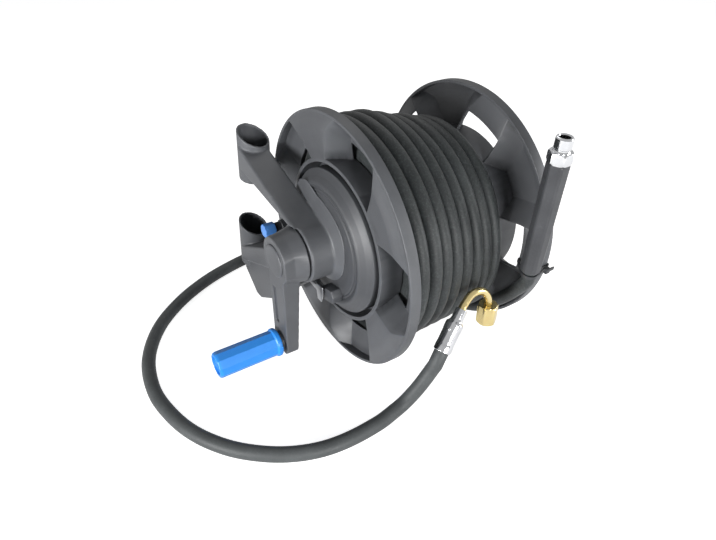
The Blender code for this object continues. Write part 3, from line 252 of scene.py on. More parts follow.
HOSE_RADIUS = 0.00715
FLOOR_GAP = 0.0002
SEAT_GAP = 0.0003
hose_rubber = rubber("hose_rubber", (0.028, 0.031, 0.032), (0.108, 0.117, 0.120), 0.45)
floor_lift = HOSE_RADIUS + FLOOR_GAP - AXLE.z
ferrule_start = Vector((0.0389, -0.1303, -0.0660))
ferrule_end = Vector((0.0585, -0.1247, -0.0425))
ferrule_way = (ferrule_end - ferrule_start).normalized()
leader_start = Vector((0.192, 0.0556, 0.0))
leader_end = ferrule_start - ferrule_way * SEAT_GAP
leader_knots = [
    leader_start + Vector((0.0, 2 * HOSE_RADIUS, 0.0)), (0.1917, 0.088, -0.014), (0.191, 0.110, -0.036),
    (0.188, 0.138, -0.067), (0.180, 0.162, -0.095), (0.165, 0.182, -0.114),
    (0.145, 0.196, floor_lift), (0.115, 0.206, floor_lift), (0.080, 0.210, floor_lift),
    (0.040, 0.209, floor_lift), (0.0, 0.204, floor_lift), (-0.037, 0.197, floor_lift),
    (-0.081, 0.182, floor_lift), (-0.124, 0.157, floor_lift), (-0.161, 0.122, floor_lift),
    (-0.186, 0.077, floor_lift), (-0.195, 0.029, floor_lift), (-0.191, -0.011, floor_lift),
    (-0.180, -0.046, floor_lift), (-0.162, -0.076, floor_lift), (-0.141, -0.098, floor_lift),
    (-0.117, -0.115, floor_lift), (-0.090, -0.126, floor_lift), (-0.062, -0.130, floor_lift),
    (-0.031, -0.129, floor_lift), (-0.012, -0.126, floor_lift + 0.001), (0.003, -0.125, -0.117),
    (0.0171, -0.1281, -0.1006), (0.030, -0.1312, -0.0803), leader_end - ferrule_way * 2 * HOSE_RADIUS]
leader_points = [leader_start] + through_points(leader_knots, 0.0060) + [leader_end]
for point in leader_points:
    point.z = max(point.z, floor_lift)
leader_hose = shown(drawn_pipe("leader_hose_tube", leader_points, HOSE_RADIUS, hose_rubber), "bracket",
                    "hose_rubber", "leader_hose")


# Ferrule and gooseneck: a plated steel ferrule crimped on the leader hose, its narrower stem, then a bent
# brass tube that ends in a loose hexagonal nut with an internal thread. The nut turns on the tube's collar.
def down_the_outside(profile):
    """The profile's points, ordered so that the turned shape faces outwards."""
    area = 0.0
    for (x0, r0), (x1, r1) in zip(profile, profile[1:] + profile[:1]):
        area += r0 * x1 - r1 * x0
    return profile if area < 0 else profile[::-1]


def solid(name, work, finish=None, sharp=32.0):
    """A piece from mesh work: welded, facing outwards, smooth but for its sharp edges."""
    bmesh.ops.remove_doubles(work, verts=work.verts, dist=0.000004)
    bmesh.ops.dissolve_degenerate(work, dist=0.000002, edges=work.edges)
    bmesh.ops.recalc_face_normals(work, faces=work.faces)
    mesh = bpy.data.meshes.new(name)
    work.to_mesh(mesh)
    work.free()
    mesh.shade_smooth()
    mesh.set_sharp_from_angle(angle=radians(sharp))
    if finish:
        mesh.materials.append(finish)
    return bpy.data.objects.new(name, mesh)


def turned(name, profile, finish=None, sides=96, centre=(0.0, 0.0), turn=None, sharp=32.0, reach=None):
    """Turn a closed profile of (x, radius) points about X. reach(angle, radius) may shape the round."""
    work = bmesh.new()
    ring = down_the_outside(profile)
    rows = []
    for i in range(sides):
        angle = 2 * pi * i / sides
        row = []
        for x, r in ring:
            if reach:
                r = reach(angle, r)
            row.append(work.verts.new((x, -r * cos(angle), r * sin(angle))))
        rows.append(row)
    for a, b in zip(rows, rows[1:] + rows[:1]):
        for i in range(len(ring)):
            j = (i + 1) % len(ring)
            starts_on_axis, ends_on_axis = (ring[k][1] < 1e-9 for k in (i, j))
            if starts_on_axis and ends_on_axis:
                continue
            if starts_on_axis:
                work.faces.new((a[i], a[j], b[j]))
            elif ends_on_axis:
                work.faces.new((a[i], a[j], b[i]))
            else:
                work.faces.new((a[i], a[j], b[j], b[i]))
    frame_of = turn @ X_FROM_Z if turn else Matrix.Translation((0.0, *centre))
    bmesh.ops.transform(work, matrix=frame_of, verts=work.verts)
    return solid(name, work, finish, sharp)


X_FROM_Z = Matrix(((0, 1, 0), (0, 0, 1), (1, 0, 0))).to_4x4()


def axis_frame(start, end):
    """A frame at start whose local Z runs towards end."""
    way = (Vector(end) - Vector(start)).normalized()
    return Matrix.Translation(start) @ way.to_track_quat("Z", "X").to_matrix().to_4x4()


def rounded(profile, radius, steps=4):
    """A closed profile with its corners rounded by up to the radius; points on the axis stay."""
    made = []
    count = len(profile)
    for i, here in enumerate(profile):
        p, q, s = Vector(profile[i - 1]), Vector(here), Vector(profile[(i + 1) % count])
        back, on = p - q, s - q
        if q.y < 1e-9 or back.length < 1e-7 or on.length < 1e-7:
            made.append(tuple(q))
            continue
        size = min(radius, back.length * 0.45, on.length * 0.45)
        a, b = q + back.normalized() * size, q + on.normalized() * size
        for k in range(steps + 1):
            t = k / steps
            made.append(tuple(a * (1 - t) ** 2 + q * 2 * t * (1 - t) + b * t ** 2))
    return made


def metal(name, dark, light, rough, spread=0.12):
    """Plated or turned metal: soft blotches of tarnish, fine turning marks and scratches."""
    made, shader, place = surface(name, Metallic=1.0)
    blotch = place.grain(70.0, 4.0)
    marks = place.grain(1600.0, 1.0)
    feed(shader, Base_Color=blotch.tone(dark, light), Roughness=rough + blotch * spread + marks * 0.05,
         Normal=marks.bumped(0.1, 0.0002))
    return made


silver = metal("bright_plate", (0.62, 0.63, 0.65), (0.86, 0.87, 0.89), 0.08, 0.08)
brass = metal("bright_brass", (0.72, 0.56, 0.23), (0.95, 0.80, 0.43), 0.14)
ferrule_long = (ferrule_end - ferrule_start).length
ferrule_frame = axis_frame(ferrule_start, ferrule_end)
stem_long = 0.0125
ferrule_profile = rounded([
    (0.0, 0.0), (0.0, 0.0087), (ferrule_long * 0.20, 0.0087), (ferrule_long * 0.26, 0.0084),
    (ferrule_long * 0.66, 0.0084), (ferrule_long * 0.72, 0.0087),
    (ferrule_long * 0.92, 0.0087), (ferrule_long, 0.0064), (ferrule_long + stem_long * 0.2, 0.0058),
    (ferrule_long + stem_long, 0.0056), (ferrule_long + stem_long, 0.0)], 0.0006)
ferrule = shown(turned("leader_ferrule_crimped", ferrule_profile, silver, 64, turn=ferrule_frame, sharp=50),
                "bracket", "bright_silver", "leader_ferrule")
stem_end = ferrule_end + ferrule_way * stem_long
inside_stem = 0.002
neck_start = ferrule_end + ferrule_way * (stem_long - inside_stem)
nut_place = (0.1042, -0.1192)
nut_top = -0.0452
neck_knots = [stem_end, (0.0690, -0.1210, -0.0318), (0.0785, -0.1190, -0.0252),
              (0.0872, -0.1186, -0.0238), (0.0960, -0.1183, -0.0276), (0.1020, -0.1187, -0.0356),
              (*nut_place, nut_top), (*nut_place, nut_top - 0.006)]
neck_points = [neck_start] + through_points(neck_knots, 0.0018)
neck_tube = drawn_pipe("gooseneck_tube", neck_points, 0.0038, brass, 8)
gooseneck = shown(neck_tube, "bracket", "brass", "gooseneck")
nut_turn = Matrix.Translation((*nut_place, 0.0))
nut_end = nut_top - 0.0210
nut_corner = 0.0104


def hexagonal(across):
    """A shaper that turns a round of a radius into a hexagon cut off by that round."""
    def reach(angle, r):
        flat = across / cos((angle + pi / 6) % (pi / 3) - pi / 6)
        return min(r, flat)
    return reach


nut_profile = [
    (nut_top, 0.0042), (nut_top, 0.0088), (nut_top - 0.0004, 0.0093), (nut_top - 0.0018, nut_corner),
    (nut_end + 0.0018, nut_corner), (nut_end + 0.0004, 0.0096), (nut_end, 0.0090), (nut_end, 0.0080),
    (nut_end + 0.0008, 0.0077), (nut_top - 0.0040, 0.0077), (nut_top - 0.0040, 0.0042)]
nut_body = turned("swivel_nut_hexagonal", nut_profile, brass, 144, turn=nut_turn, sharp=24,
                  reach=hexagonal(nut_corner * cos(pi / 6)))
swivel_nut = shown(nut_body, "nut", "brass", "swivel_nut")
leader_length = sum((q - p).length for p, q in zip(leader_points, leader_points[1:]))


# Mounting bracket: one thick moulding of glass filled plastic that carries the whole reel on one side.
# A boss with a low skirt holds the axle, two arms run to tube sockets that are cut off on the slant, and a
# thin web below stands on the floor. The corners run into each other, as a deep mould leaves them.
def moulded(name, dark, light):
    """Moulded plastic: spark-eroded grain, cloudy flow marks, paler rubbed edges, and painted shade in its
    hollows.
    """
    made, shader, place = surface(name, Specular_IOR_Level=0.45)
    cloud = place.grain(14.0, 3.0)
    flow = place.grain(60.0, 4.0, 0.65)
    fine = place.grain(1900.0, 2.0)
    edge = place.node("NewGeometry", out="Pointiness")
    worn = ((edge - 0.515) * 9.0 * flow).held()
    # Painted shade: the colour darkens where the surface folds inward, in corners and hollows.
    painted_hollow_shade = ((0.490 - edge) * 12.0).held()
    paler = (cloud * 0.55 + flow * 0.25 + fine * 0.15 + worn * 0.6 - painted_hollow_shade * 0.6).held()
    feed(shader, Base_Color=paler.tone(dark, light),
         Roughness=0.34 + cloud * 0.08 + fine * 0.08 + flow * 0.06,
         Normal=(fine + flow * 0.25 + cloud * 0.3).bumped(0.20, 0.00035))
    return made


def prism(name, outline, x0, x1, round_by=0.0):
    """A flat outline of (y, z) points drawn out from x0 to x1, its edges rounded."""
    work = bmesh.new()
    ends = [[work.verts.new((x, y, z)) for y, z in outline] for x in (x0, x1)]
    for end in ends:
        work.faces.new(end)
    for i in range(len(outline)):
        j = (i + 1) % len(outline)
        work.faces.new((ends[0][i], ends[0][j], ends[1][j], ends[1][i]))
    bmesh.ops.recalc_face_normals(work, faces=work.faces)
    if round_by:
        sharp = [e for e in work.edges if e.calc_face_angle(0.0) > radians(25)]
        bmesh.ops.bevel(work, geom=sharp, offset=round_by, segments=3, profile=0.5, affect="EDGES",
                        clamp_overlap=True)
    return solid(name, work)


def settled(obj):
    """Apply a piece's modifiers and throw away the solids that they used."""
    for step in obj.modifiers:
        if step.type == "BOOLEAN" and step.object.name not in bpy.context.scene.collection.objects:
            bpy.context.scene.collection.objects.link(step.object)
    if obj.name not in bpy.context.scene.collection.objects:
        bpy.context.scene.collection.objects.link(obj)
    bpy.context.view_layer.update()
    mesh = bpy.data.meshes.new_from_object(obj.evaluated_get(bpy.context.evaluated_depsgraph_get()))
    used = [step.object for step in obj.modifiers if step.type == "BOOLEAN"]
    obj.modifiers.clear()
    obj.data = mesh
    bpy.context.scene.collection.objects.unlink(obj)
    for other in used:
        bpy.data.objects.remove(other, do_unlink=True)
    return obj


def fitted(obj, joined=(), cut=()):
    """Join solids to a piece and cut others out of it."""
    for others, operation in ((joined, "UNION"), (cut, "DIFFERENCE")):
        for other in others:
            step = obj.modifiers.new(other.name, "BOOLEAN")
            step.operation = operation
            step.solver = "EXACT"
            step.object = other
    return settled(obj)


def covered(obj, finish):
    """Give a piece one material all over, in place of those its solids brought."""
    obj.data.materials.clear()
    obj.data.materials.append(finish)
    return obj


def flowed(obj, cell, ease, finish):
    """Recast a joined piece in small even cells and ease its corners, as in a well used mould."""
    cast = obj.modifiers.new("cast", "REMESH")
    cast.mode = "VOXEL"
    cast.voxel_size = cell
    cast.use_smooth_shade = True
    soft = obj.modifiers.new("ease", "SMOOTH")
    soft.factor = 0.5
    soft.iterations = ease
    return covered(settled(obj), finish)


def circle_touch(outside, radius, side):
    """Where the line from an outside (y, z) point touches the circle about the axle."""
    base = atan2(outside[1], outside[0])
    swing = acos(radius / hypot(*outside))
    return (radius * cos(base + side * swing), radius * sin(base + side * swing))


grey_plastic = moulded("grey_moulded_plastic", (0.033, 0.035, 0.039), (0.122, 0.127, 0.137))
AXLE_HEIGHT = 0.130
BOSS_FACE = -0.0386
BOSS_RADIUS = 0.030
ARM_FRONT, ARM_BACK = -0.0435, -0.014
SOCKET_X = -0.025
SOCKET_BORE = 0.0148
socket_out = SOCKET_BORE + 0.0022
lean = radians(8.0)
socket_way = Vector((0.0, -sin(lean), cos(lean)))
slant = Vector((0.28, -0.53, 1.0)).normalized()
upper_mouth = (0.115, 0.079)
lower_mouth = (0.1445, -0.040)


def socket_turn(mouth):
    """A frame at a socket's mouth whose local Z runs out of the socket."""
    start = Vector((SOCKET_X, *mouth))
    return axis_frame(start, start + socket_way)


def socket_spot(mouth, depth):
    """A (y, z) point on a socket's middle line, at a depth below its mouth."""
    start = Vector((0.0, *mouth)) - socket_way * depth
    return (start.y, start.z)


def rod(name, x0, x1, radius, turn=None, sides=96, centre=(0.0, 0.0)):
    """A plain round bar from x0 to x1."""
    return turned(name, [(x0, 0.0), (x0, radius), (x1, radius), (x1, 0.0)], None, sides, centre, turn)


def socket_body(name, mouth, length):
    """The outside of a tube socket, cut off on the slant at its mouth."""
    start = Vector((SOCKET_X, *mouth))
    size = 0.1
    above = axis_frame(start, start + slant) @ Matrix.Translation((0, 0, size / 2))
    block = bmesh.new()
    bmesh.ops.create_cube(block, size=size, matrix=above)
    body = rod(name, -length, 0.014, socket_out, socket_turn(mouth))
    return fitted(body, cut=[solid(name + "_mouth", block)])


boss = turned("bracket_boss", rounded([
    (BOSS_FACE, 0.0), (BOSS_FACE, BOSS_RADIUS), (-0.0100, BOSS_RADIUS), (-0.0100, 0.0)], 0.0016), None, 128)

# The skirt's reach from the axle at each angle about it. Its section is drawn with a reach of 45 mm.
skirt_reach = (
    (-60, 0.0372), (-46, 0.0378), (5, 0.0405), (33, 0.0450), (60, 0.0460), (80, 0.0475), (101, 0.0525),
    (117, 0.0670), (128, 0.0700), (150, 0.0660), (180, 0.0480), (240, 0.0372), (300, 0.0372))
SKIRT_DRAWN = 0.045


def skirted(angle, r):
    """The low skirt runs close round the boss and widens along the upper arm."""
    if r <= BOSS_RADIUS:
        return r
    turn = (degrees(angle) + 60.0) % 360.0 - 60.0
    low, high = next(pair for pair in zip(skirt_reach, skirt_reach[1:]) if turn <= pair[1][0] + 1e-6)
    share = (turn - low[0]) / (high[0] - low[0])
    out = low[1] + (high[1] - low[1]) * share
    return BOSS_RADIUS + (r - BOSS_RADIUS) * (out - BOSS_RADIUS) / (SKIRT_DRAWN - BOSS_RADIUS)


skirt = turned("bracket_skirt", [
    (-0.0094, 0.0), (-0.0094, 0.0446), (-0.0099, SKIRT_DRAWN), (-0.0107, 0.0443), (-0.0109, 0.0430),
    (-0.0150, 0.0300), (-0.0154, 0.0290), (-0.0154, 0.0)], None, 180, reach=skirted)
upper_tip, upper_heel = socket_spot(upper_mouth, 0.008), socket_spot(upper_mouth, 0.034)
upper_arm = prism("upper_arm", [
    circle_touch(upper_tip, 0.0297, 1), circle_touch(upper_heel, 0.0265, 1), upper_heel, upper_tip],
    ARM_FRONT, ARM_BACK, 0.0030)
lower_tip, lower_heel = socket_spot(lower_mouth, 0.028), socket_spot(lower_mouth, 0.049)
lower_arm = prism("lower_arm", [(0.0, 0.004), circle_touch(lower_heel, 0.0265, -1), lower_heel, lower_tip],
                  ARM_FRONT, ARM_BACK, 0.0026)

# The crank's boss turns in front of the bracket's, so both arms are cut back there.
for arm in (upper_arm, lower_arm):
    fitted(arm, cut=[rod("crank_clearance", -0.06, BOSS_FACE + 0.0003, 0.0298)])
ground = 0.0003 - AXLE_HEIGHT
heel = (0.088, 0.0183 - AXLE_HEIGHT)
foot_web = prism("foot_web", [
    circle_touch(heel, 0.029, -1), heel, (0.119, ground), (0.131, ground), (0.160, 0.0243 - AXLE_HEIGHT),
    lower_heel, (0.02, 0.0)], -0.037, -0.019, 0.0018)
mounting_bracket = fitted(
    rod("mounting_bracket_moulded", BOSS_FACE + 0.003, -0.012, 0.026),
    joined=[boss, skirt, upper_arm, lower_arm, foot_web, socket_body("upper_socket", upper_mouth, 0.050),
            socket_body("lower_socket", lower_mouth, 0.054)],
    cut=[rod("upper_bore", -0.060, 0.03, SOCKET_BORE, socket_turn(upper_mouth)),
         rod("lower_bore", -0.050, 0.03, SOCKET_BORE, socket_turn(lower_mouth)),
         rod("bush_seat", BOSS_FACE - 0.01, 0.01, 0.0131)])
shown(flowed(mounting_bracket, 0.00085, 5, grey_plastic), "bracket", "grey_plastic", "mounting_bracket")

# Hub disc: a dished cover of a darker moulded plastic, screwed to the bracket's back, that closes the ring
# in the near flange. A fine step, a raised ridge and a sloping border run round it, and a lug for the clip
# sits below the boss.
ridge = 0.0616
hub_disc = turned("hub_disc_dished", rounded([
    (-0.0097, 0.0132), (-0.0097, 0.0470), (-0.0089, 0.0530), (-0.0079, 0.0545), (-0.0086, 0.0556),
    (-0.0078, 0.0572), (-0.0094, 0.0600), (-0.0101, ridge + 0.0004), (-0.0088, ridge + 0.0030),
    (-0.0042, 0.0688), (-0.0006, 0.0735), (0.0, 0.0748), (0.0120, 0.0748), (0.0120, 0.0718),
    (0.0030, 0.0718), (-0.0064, 0.0606), (-0.0067, 0.0556), (-0.0067, 0.0132)], 0.0007, 3), None, 160)
SCREW_CIRCLE = 0.022
disc_holes = []
for quarter in (45, 135, 225, 315):
    seat = (-SCREW_CIRCLE * cos(radians(quarter)), SCREW_CIRCLE * sin(radians(quarter)))
    disc_holes.append(rod(f"disc_hole_{quarter}", -0.0245, 0.0, 0.0020, None, 24, seat))
lock_place = (0.0643, -0.005)
lock_seat = rod("lock_seat", -0.03, 0.02, 0.0058, None, 48, lock_place)
clip = prism("disc_clip", [(-0.0100, -0.0400), (-0.0290, -0.0360), (-0.0330, -0.0420), (-0.0315, -0.0500),
                           (-0.0120, -0.0550), (-0.0080, -0.0490)], -0.0205, -0.008, 0.0012)
fitted(hub_disc, joined=[clip], cut=disc_holes + [lock_seat])
hub_disc.data.set_sharp_from_angle(angle=radians(32))
disc_plastic = moulded("disc_moulded_plastic", (0.026, 0.028, 0.031), (0.078, 0.081, 0.089))
shown(covered(hub_disc, disc_plastic), "bracket", "grey_plastic", "hub_disc")

# Bearing: a bronze bush in the bracket, a steel washer and shaft, and four steel screws in the disc.
# They are small turned pieces, so the CAD's own solids stay. A bent spring clip sits on the disc's lug.
steel = metal("zinc_steel", (0.40, 0.41, 0.43), (0.62, 0.63, 0.65), 0.26)
bronze = metal("bearing_bronze", (0.28, 0.17, 0.07), (0.45, 0.29, 0.14), 0.38)


def dressed(finish, *names):
    """Give CAD solids that stay their material."""
    for name in names:
        covered(nodes[name], finish)


dressed(bronze, "hub_bush")
spring_clip = prism("disc_spring_clip", [
    (0.0120, -0.0400), (0.0120, -0.0440), (-0.0060, -0.0460), (-0.0075, -0.0560), (-0.0150, -0.0560),
    (-0.0185, -0.0470), (-0.0185, -0.0365), (-0.0080, -0.0375), (-0.0040, -0.0400)],
    -0.0240, -0.0230, 0.0004)
peg = rod("spring_clip_peg", -0.0235, -0.0190, 0.0025, None, 32, (-0.0130, -0.0460))
shown(covered(fitted(spring_clip, joined=[peg]), steel), "bracket", "zinc_steel")
dressed(steel, "thrust_washer", "centre_shaft", *[f"disc_screw_{k}" for k in (1, 2, 3, 4)])

# Lock: a spring pin in a dark housing on the disc, pulled by a pale blue cap with eight flats. Let go, it
# drops into one of the holes in the near flange's web.
black_plastic = moulded("black_moulded_plastic", (0.010, 0.011, 0.013), (0.034, 0.036, 0.040))


def blue(name, dark, light):
    """Through-coloured glossy plastic with a soft satin skin and faint swirls."""
    made, shader, place = surface(name, Coat_Roughness=0.25)
    swirl = place.grain(45.0, 4.0, 0.6)
    fine = place.grain(1500.0, 2.0)
    feed(shader, Base_Color=(swirl * 0.8 + fine * 0.2).held().tone(dark, light),
         Roughness=0.30 + swirl * 0.12 + fine * 0.06, Normal=(fine + swirl * 0.4).bumped(0.12, 0.0003))
    return made


def with_flats(count, inside, outside, swell):
    """A shaper that cuts flats round a piece wherever its radius lies between inside and outside."""
    part = pi / count

    def reach(angle, r):
        if r < inside or r > outside:
            return r
        return r * cos(part) / cos((angle + part) % (2 * part) - part) * swell
    return reach


pale_blue = blue("lock_cap_plastic", (0.050, 0.190, 0.560), (0.100, 0.300, 0.740))
lock_housing = turned("lock_housing_stepped", rounded([
    (-0.0365, 0.0032), (-0.0365, 0.0055), (-0.0260, 0.0055), (-0.0260, 0.0070), (-0.0104, 0.0070),
    (-0.0104, 0.0055), (0.0015, 0.0055), (0.0015, 0.0032)], 0.0006), black_plastic, 48, lock_place)
shown(lock_housing, "bracket", "dark_plastic", "lock_housing")
lock_cap = turned("lock_knob_faceted", rounded([
    (-0.0455, 0.0), (-0.0455, 0.0072), (-0.0335, 0.0072), (-0.0335, 0.0059), (-0.0436, 0.0059),
    (-0.0436, 0.0032), (-0.0447, 0.0032), (-0.0447, 0.0)], 0.0008), pale_blue, 80, lock_place,
    reach=with_flats(8, 0.0065, 0.0080, 1.04))
shown(lock_cap, "lock", "blue_plastic", "lock_knob")
dressed(steel, "lock_pin")

# Flanges: two large mouldings with five raised petals and five sunk pockets each. A ring of windows opens
# between pocket and ring, a stiff rim runs round the outside, and the web behind the ring carries the
# barrel and the shaft. The sheet is thin and folded, so its creases stay crisp.
PITCH = 72.0
RIM_RADIUS, RIM_INSIDE = 0.130, 0.127

# Each ring of the sheet has its radius, the depths of petal and pocket, and the angles from the pocket's
# middle to its mouth and to its base.
flange_rings = [(0.0824, 0.0015, 0.0235, 26.5, 15.5), (0.1115, -0.0022, 0.0150, 21.5, 12.0),
                (0.1150, -0.0025, 0.0135, 20.5, 11.0), (0.1285, 0.0003, 0.0080, 14.5, 8.0)]


def polar(x, radius, angle):
    """A point at a radius and an angle about the axle."""
    return Vector((x, -radius * cos(radians(angle)), radius * sin(radians(angle))))


def between(rings, radius, column):
    """A column of the ring table, read in a straight line between its radii."""
    for low, high in zip(rings, rings[1:]):
        if radius <= high[0] + 1e-9:
            share = (radius - low[0]) / (high[0] - low[0])
            return low[column] + (high[column] - low[column]) * share
    return rings[-1][column]


def flange_sheet(name, first_pocket, window_reach):
    """One flange's folded sheet, before its wall: petals, pockets, and windows out to window_reach."""
    work = bmesh.new()
    radii = [0.0824, 0.090, 0.097, 0.104, 0.1085, 0.1115, 0.1150, 0.1185, 0.123, 0.1285]
    in_pocket, in_wall, in_petal = 6, 4, 8
    strips = in_pocket + in_petal + 2 * in_wall
    rows = []
    for radius in radii:
        petal, pocket, mouth, base = (between(flange_rings, radius, column) for column in (1, 2, 3, 4))
        row = []
        for k in range(5):
            spots = [(-base + 2 * base * i / in_pocket, pocket) for i in range(in_pocket + 1)]
            spots += [(base + (mouth - base) * i / in_wall, pocket + (petal - pocket) * i / in_wall)
                      for i in range(1, in_wall)]
            spots += [(mouth + (PITCH - 2 * mouth) * i / in_petal, petal) for i in range(in_petal + 1)]
            spots += [(PITCH - mouth + (mouth - base) * i / in_wall, petal + (pocket - petal) * i / in_wall)
                      for i in range(1, in_wall)]
            middle = first_pocket + PITCH * k
            row += [work.verts.new(polar(depth, radius, middle + turn)) for turn, depth in spots]
        rows.append(row)
    for lower, upper, radius in zip(rows, rows[1:], radii):
        for i in range(len(lower)):
            j = (i + 1) % len(lower)
            if radius > window_reach or i % strips >= in_pocket:
                work.faces.new((lower[i], lower[j], upper[j], upper[i]))
    return solid(name, work)


def flange(name, node, outer_x, inward, first_pocket, window_reach, holes):
    """A whole flange, its outer plane at outer_x and its depth running inward."""
    made = flange_sheet(name, first_pocket, window_reach)
    wall = made.modifiers.new("wall", "SOLIDIFY")
    wall.thickness = 0.0024
    wall.offset = 1.0 if sum(face.normal.x * face.area for face in made.data.polygons) > 0 else -1.0
    wall.use_even_offset = True
    wall.use_quality_normals = True
    crease = made.modifiers.new("crease", "BEVEL")
    crease.width = 0.00055
    crease.segments = 2
    crease.limit_method = "ANGLE"
    crease.angle_limit = radians(24)
    settled(made)
    rim = turned(name + "_rim", rounded([
        (0.0, RIM_INSIDE), (0.0, RIM_RADIUS), (0.011, RIM_RADIUS), (0.011, RIM_INSIDE)], 0.0009), None, 180)
    ring = turned(name + "_ring", rounded([
        (0.0012, 0.080), (0.0012, 0.084), (0.025, 0.084), (0.025, 0.015), (0.038, 0.015), (0.038, 0.0093),
        (0.0006, 0.0093), (0.0006, 0.015), (0.022, 0.015), (0.022, 0.080)], 0.0007, 3), None, 144)
    fitted(made, joined=[rim, ring], cut=holes)
    # Near points left by the joins are welded, so that the piece is one closed skin.
    work = bmesh.new()
    work.from_mesh(made.data)
    bmesh.ops.remove_doubles(work, verts=work.verts, dist=0.00002)
    bmesh.ops.triangulate(work, faces=work.faces)
    bmesh.ops.dissolve_degenerate(work, dist=0.00001, edges=work.edges)
    work.to_mesh(made.data)
    work.free()
    if inward < 0:
        made.data.transform(Matrix.Scale(-1, 4, (1, 0, 0)))
        made.data.flip_normals()
    made.data.transform(Matrix.Translation((outer_x, 0, 0)))
    made.data.shade_smooth()
    made.data.set_sharp_from_angle(angle=radians(22))
    return shown(covered(made, grey_plastic), "spool", "grey_plastic", node)


REEL_WIDTH = 0.1686
lock_radius, lock_angle = hypot(*lock_place), degrees(atan2(lock_place[1], -lock_place[0]))
index_holes = [rod(f"index_hole_{k}", 0.018, 0.029, 0.0040, None, 24,
                   tuple(polar(0, lock_radius, lock_angle + 30 * k))[1:]) for k in range(12)]
flange("near_flange_moulded", "near_flange", 0.0, 1.0, -1.0, 0.1035, index_holes)
flange("far_flange_moulded", "far_flange", REEL_WIDTH, -1.0, -2.0, 0.1045, [])
dressed(steel, *[f"{side}_web_screw_{k}" for side in ("near", "far") for k in (1, 2, 3)])

# Drum barrel: a plain tube of the flanges' plastic between the webs, hidden under the hose. The CAD's own
# solid stays.
dressed(grey_plastic, "drum_barrel")

# Wound hose: the outer layer of the working hose, seven and a half turns. It climbs out of the layer below
# at the near end, where it is drawn tight and high, hangs loose below, and steps down towards the far end.
WOUND_RADIUS = 0.00685
# Painted shade: the hose on the drum has a darker copy of the leader hose's rubber, which stands in for the
# shade there.
shaded_work_rubber = rubber("working_hose_rubber_shaded", (0.006, 0.007, 0.008), (0.070, 0.079, 0.080), 0.42, 0.5, 0.55)
TURN_GAP, TURN_LIFT = 0.0005, 0.0005
first_x, last_x = 0.0270, REEL_WIDTH - 0.0420
full_turns = floor((last_x - first_x) / (2 * WOUND_RADIUS + TURN_GAP))
turn_pitch = (last_x - first_x) / full_turns

# The outer layer's depth below the rim, at five places along the drum and four angles about it.
layer_places = (0.030, 0.044, 0.056, 0.085, last_x)
layer_below_rim = {
    -56.0: (0.0150, 0.0152, 0.0155, 0.0163, 0.0185),
    32.0: (0.0130, 0.0130, 0.0170, 0.0230, 0.0320),
    107.0: (0.0102, 0.0105, 0.0112, 0.0207, 0.0300),
    200.0: (0.0130, 0.0130, 0.0150, 0.0210, 0.0290),
}


def eased(places, values, at):
    """A value that passes smoothly from each place's value to the next one's."""
    at = min(max(at, places[0]), places[-1])
    k = max(i for i in range(len(places) - 1) if places[i] <= at)
    share = (at - places[k]) / (places[k + 1] - places[k])
    return values[k] + (values[k + 1] - values[k]) * share * share * (3 - 2 * share)


def layer_reach(x, angle):
    """The outer layer's distance from the axle at a place along the drum and an angle about it."""
    angles = sorted(layer_below_rim)
    below = [eased(layer_places, layer_below_rim[a], x) for a in angles]
    turn = (angle - angles[0]) % 360.0 + angles[0]
    return RIM_RADIUS - eased(angles + [angles[0] + 360.0], below + below[:1], turn)


STEP_FROM, STEP_TO = 120.0, 300.0
CLIMB_FROM, CLIMB_TO = -240.0, -80.0
LAYER_CLIMB = 0.0142


def winding_point(angle):
    """The hose's middle line in the outer layer: each turn lies straight and steps along at the back."""
    full = floor((angle - STEP_FROM) / 360.0)
    x = first_x + turn_pitch * (full + eased((STEP_FROM, STEP_TO), (0.0, 1.0), angle - 360.0 * full))
    x = max(x, first_x)
    climb = eased((CLIMB_FROM, CLIMB_TO), (-LAYER_CLIMB, 0.0), angle)
    return polar(x, layer_reach(x, angle) - WOUND_RADIUS + TURN_LIFT + climb, angle)


LEAVE_ANGLE = 150.0
start_angle, end_angle = CLIMB_FROM - 10.0, 360.0 * full_turns + LEAVE_ANGLE
turn_steps = ceil((end_angle - start_angle) / 5.0)
turns = [winding_point(start_angle + (end_angle - start_angle) * i / turn_steps)
         for i in range(turn_steps + 1)]
shown(drawn_pipe("wound_hose_turns", turns, WOUND_RADIUS, shaded_work_rubber), "spool", "hose_rubber",
      "wound_hose")

# Inner layers: the rest of the working hose below, drawn as one coil whose turns show at its top and at
# both its ends, where the windows and the last step of the outer layer let them be seen.
core_start, core_end = 0.0264, last_x + turn_pitch * 0.6
core_bore = 0.0543
END_BULGE = 0.004


def core_profile(angle):
    """The coil's section at an angle: turns in a row along the top, and stacked turns at each end."""
    along = []
    count = 96
    middle = first_x + turn_pitch * 0.5
    for i in range(count + 1):
        x = core_start + (core_end - core_start) * i / count
        off = (x - middle) - turn_pitch * round((x - middle) / turn_pitch)
        lump = sqrt(max(0.0, WOUND_RADIUS ** 2 - off ** 2)) - WOUND_RADIUS
        free = min(layer_reach(x + away, angle) - WOUND_RADIUS - sqrt(WOUND_RADIUS ** 2 - away ** 2)
                   for away in (-WOUND_RADIUS, -WOUND_RADIUS / 2, 0.0, WOUND_RADIUS / 2, WOUND_RADIUS))
        along.append((x, free + lump * 0.7))
    far = []
    top = along[-1][1]
    layers = max(1, round((top - core_bore) / (1.9 * WOUND_RADIUS)))
    step = (top - core_bore) / layers
    for k in range(layers):
        for t in range(1, 8):
            r = top - step * (k + t / 8)
            bulge = sqrt(max(0.0, 1 - (2 * t / 8 - 1) ** 2)) * END_BULGE
            far.append((core_end + bulge, r))
    return [(core_start, core_bore)] + along + far + [(core_end, core_bore)]


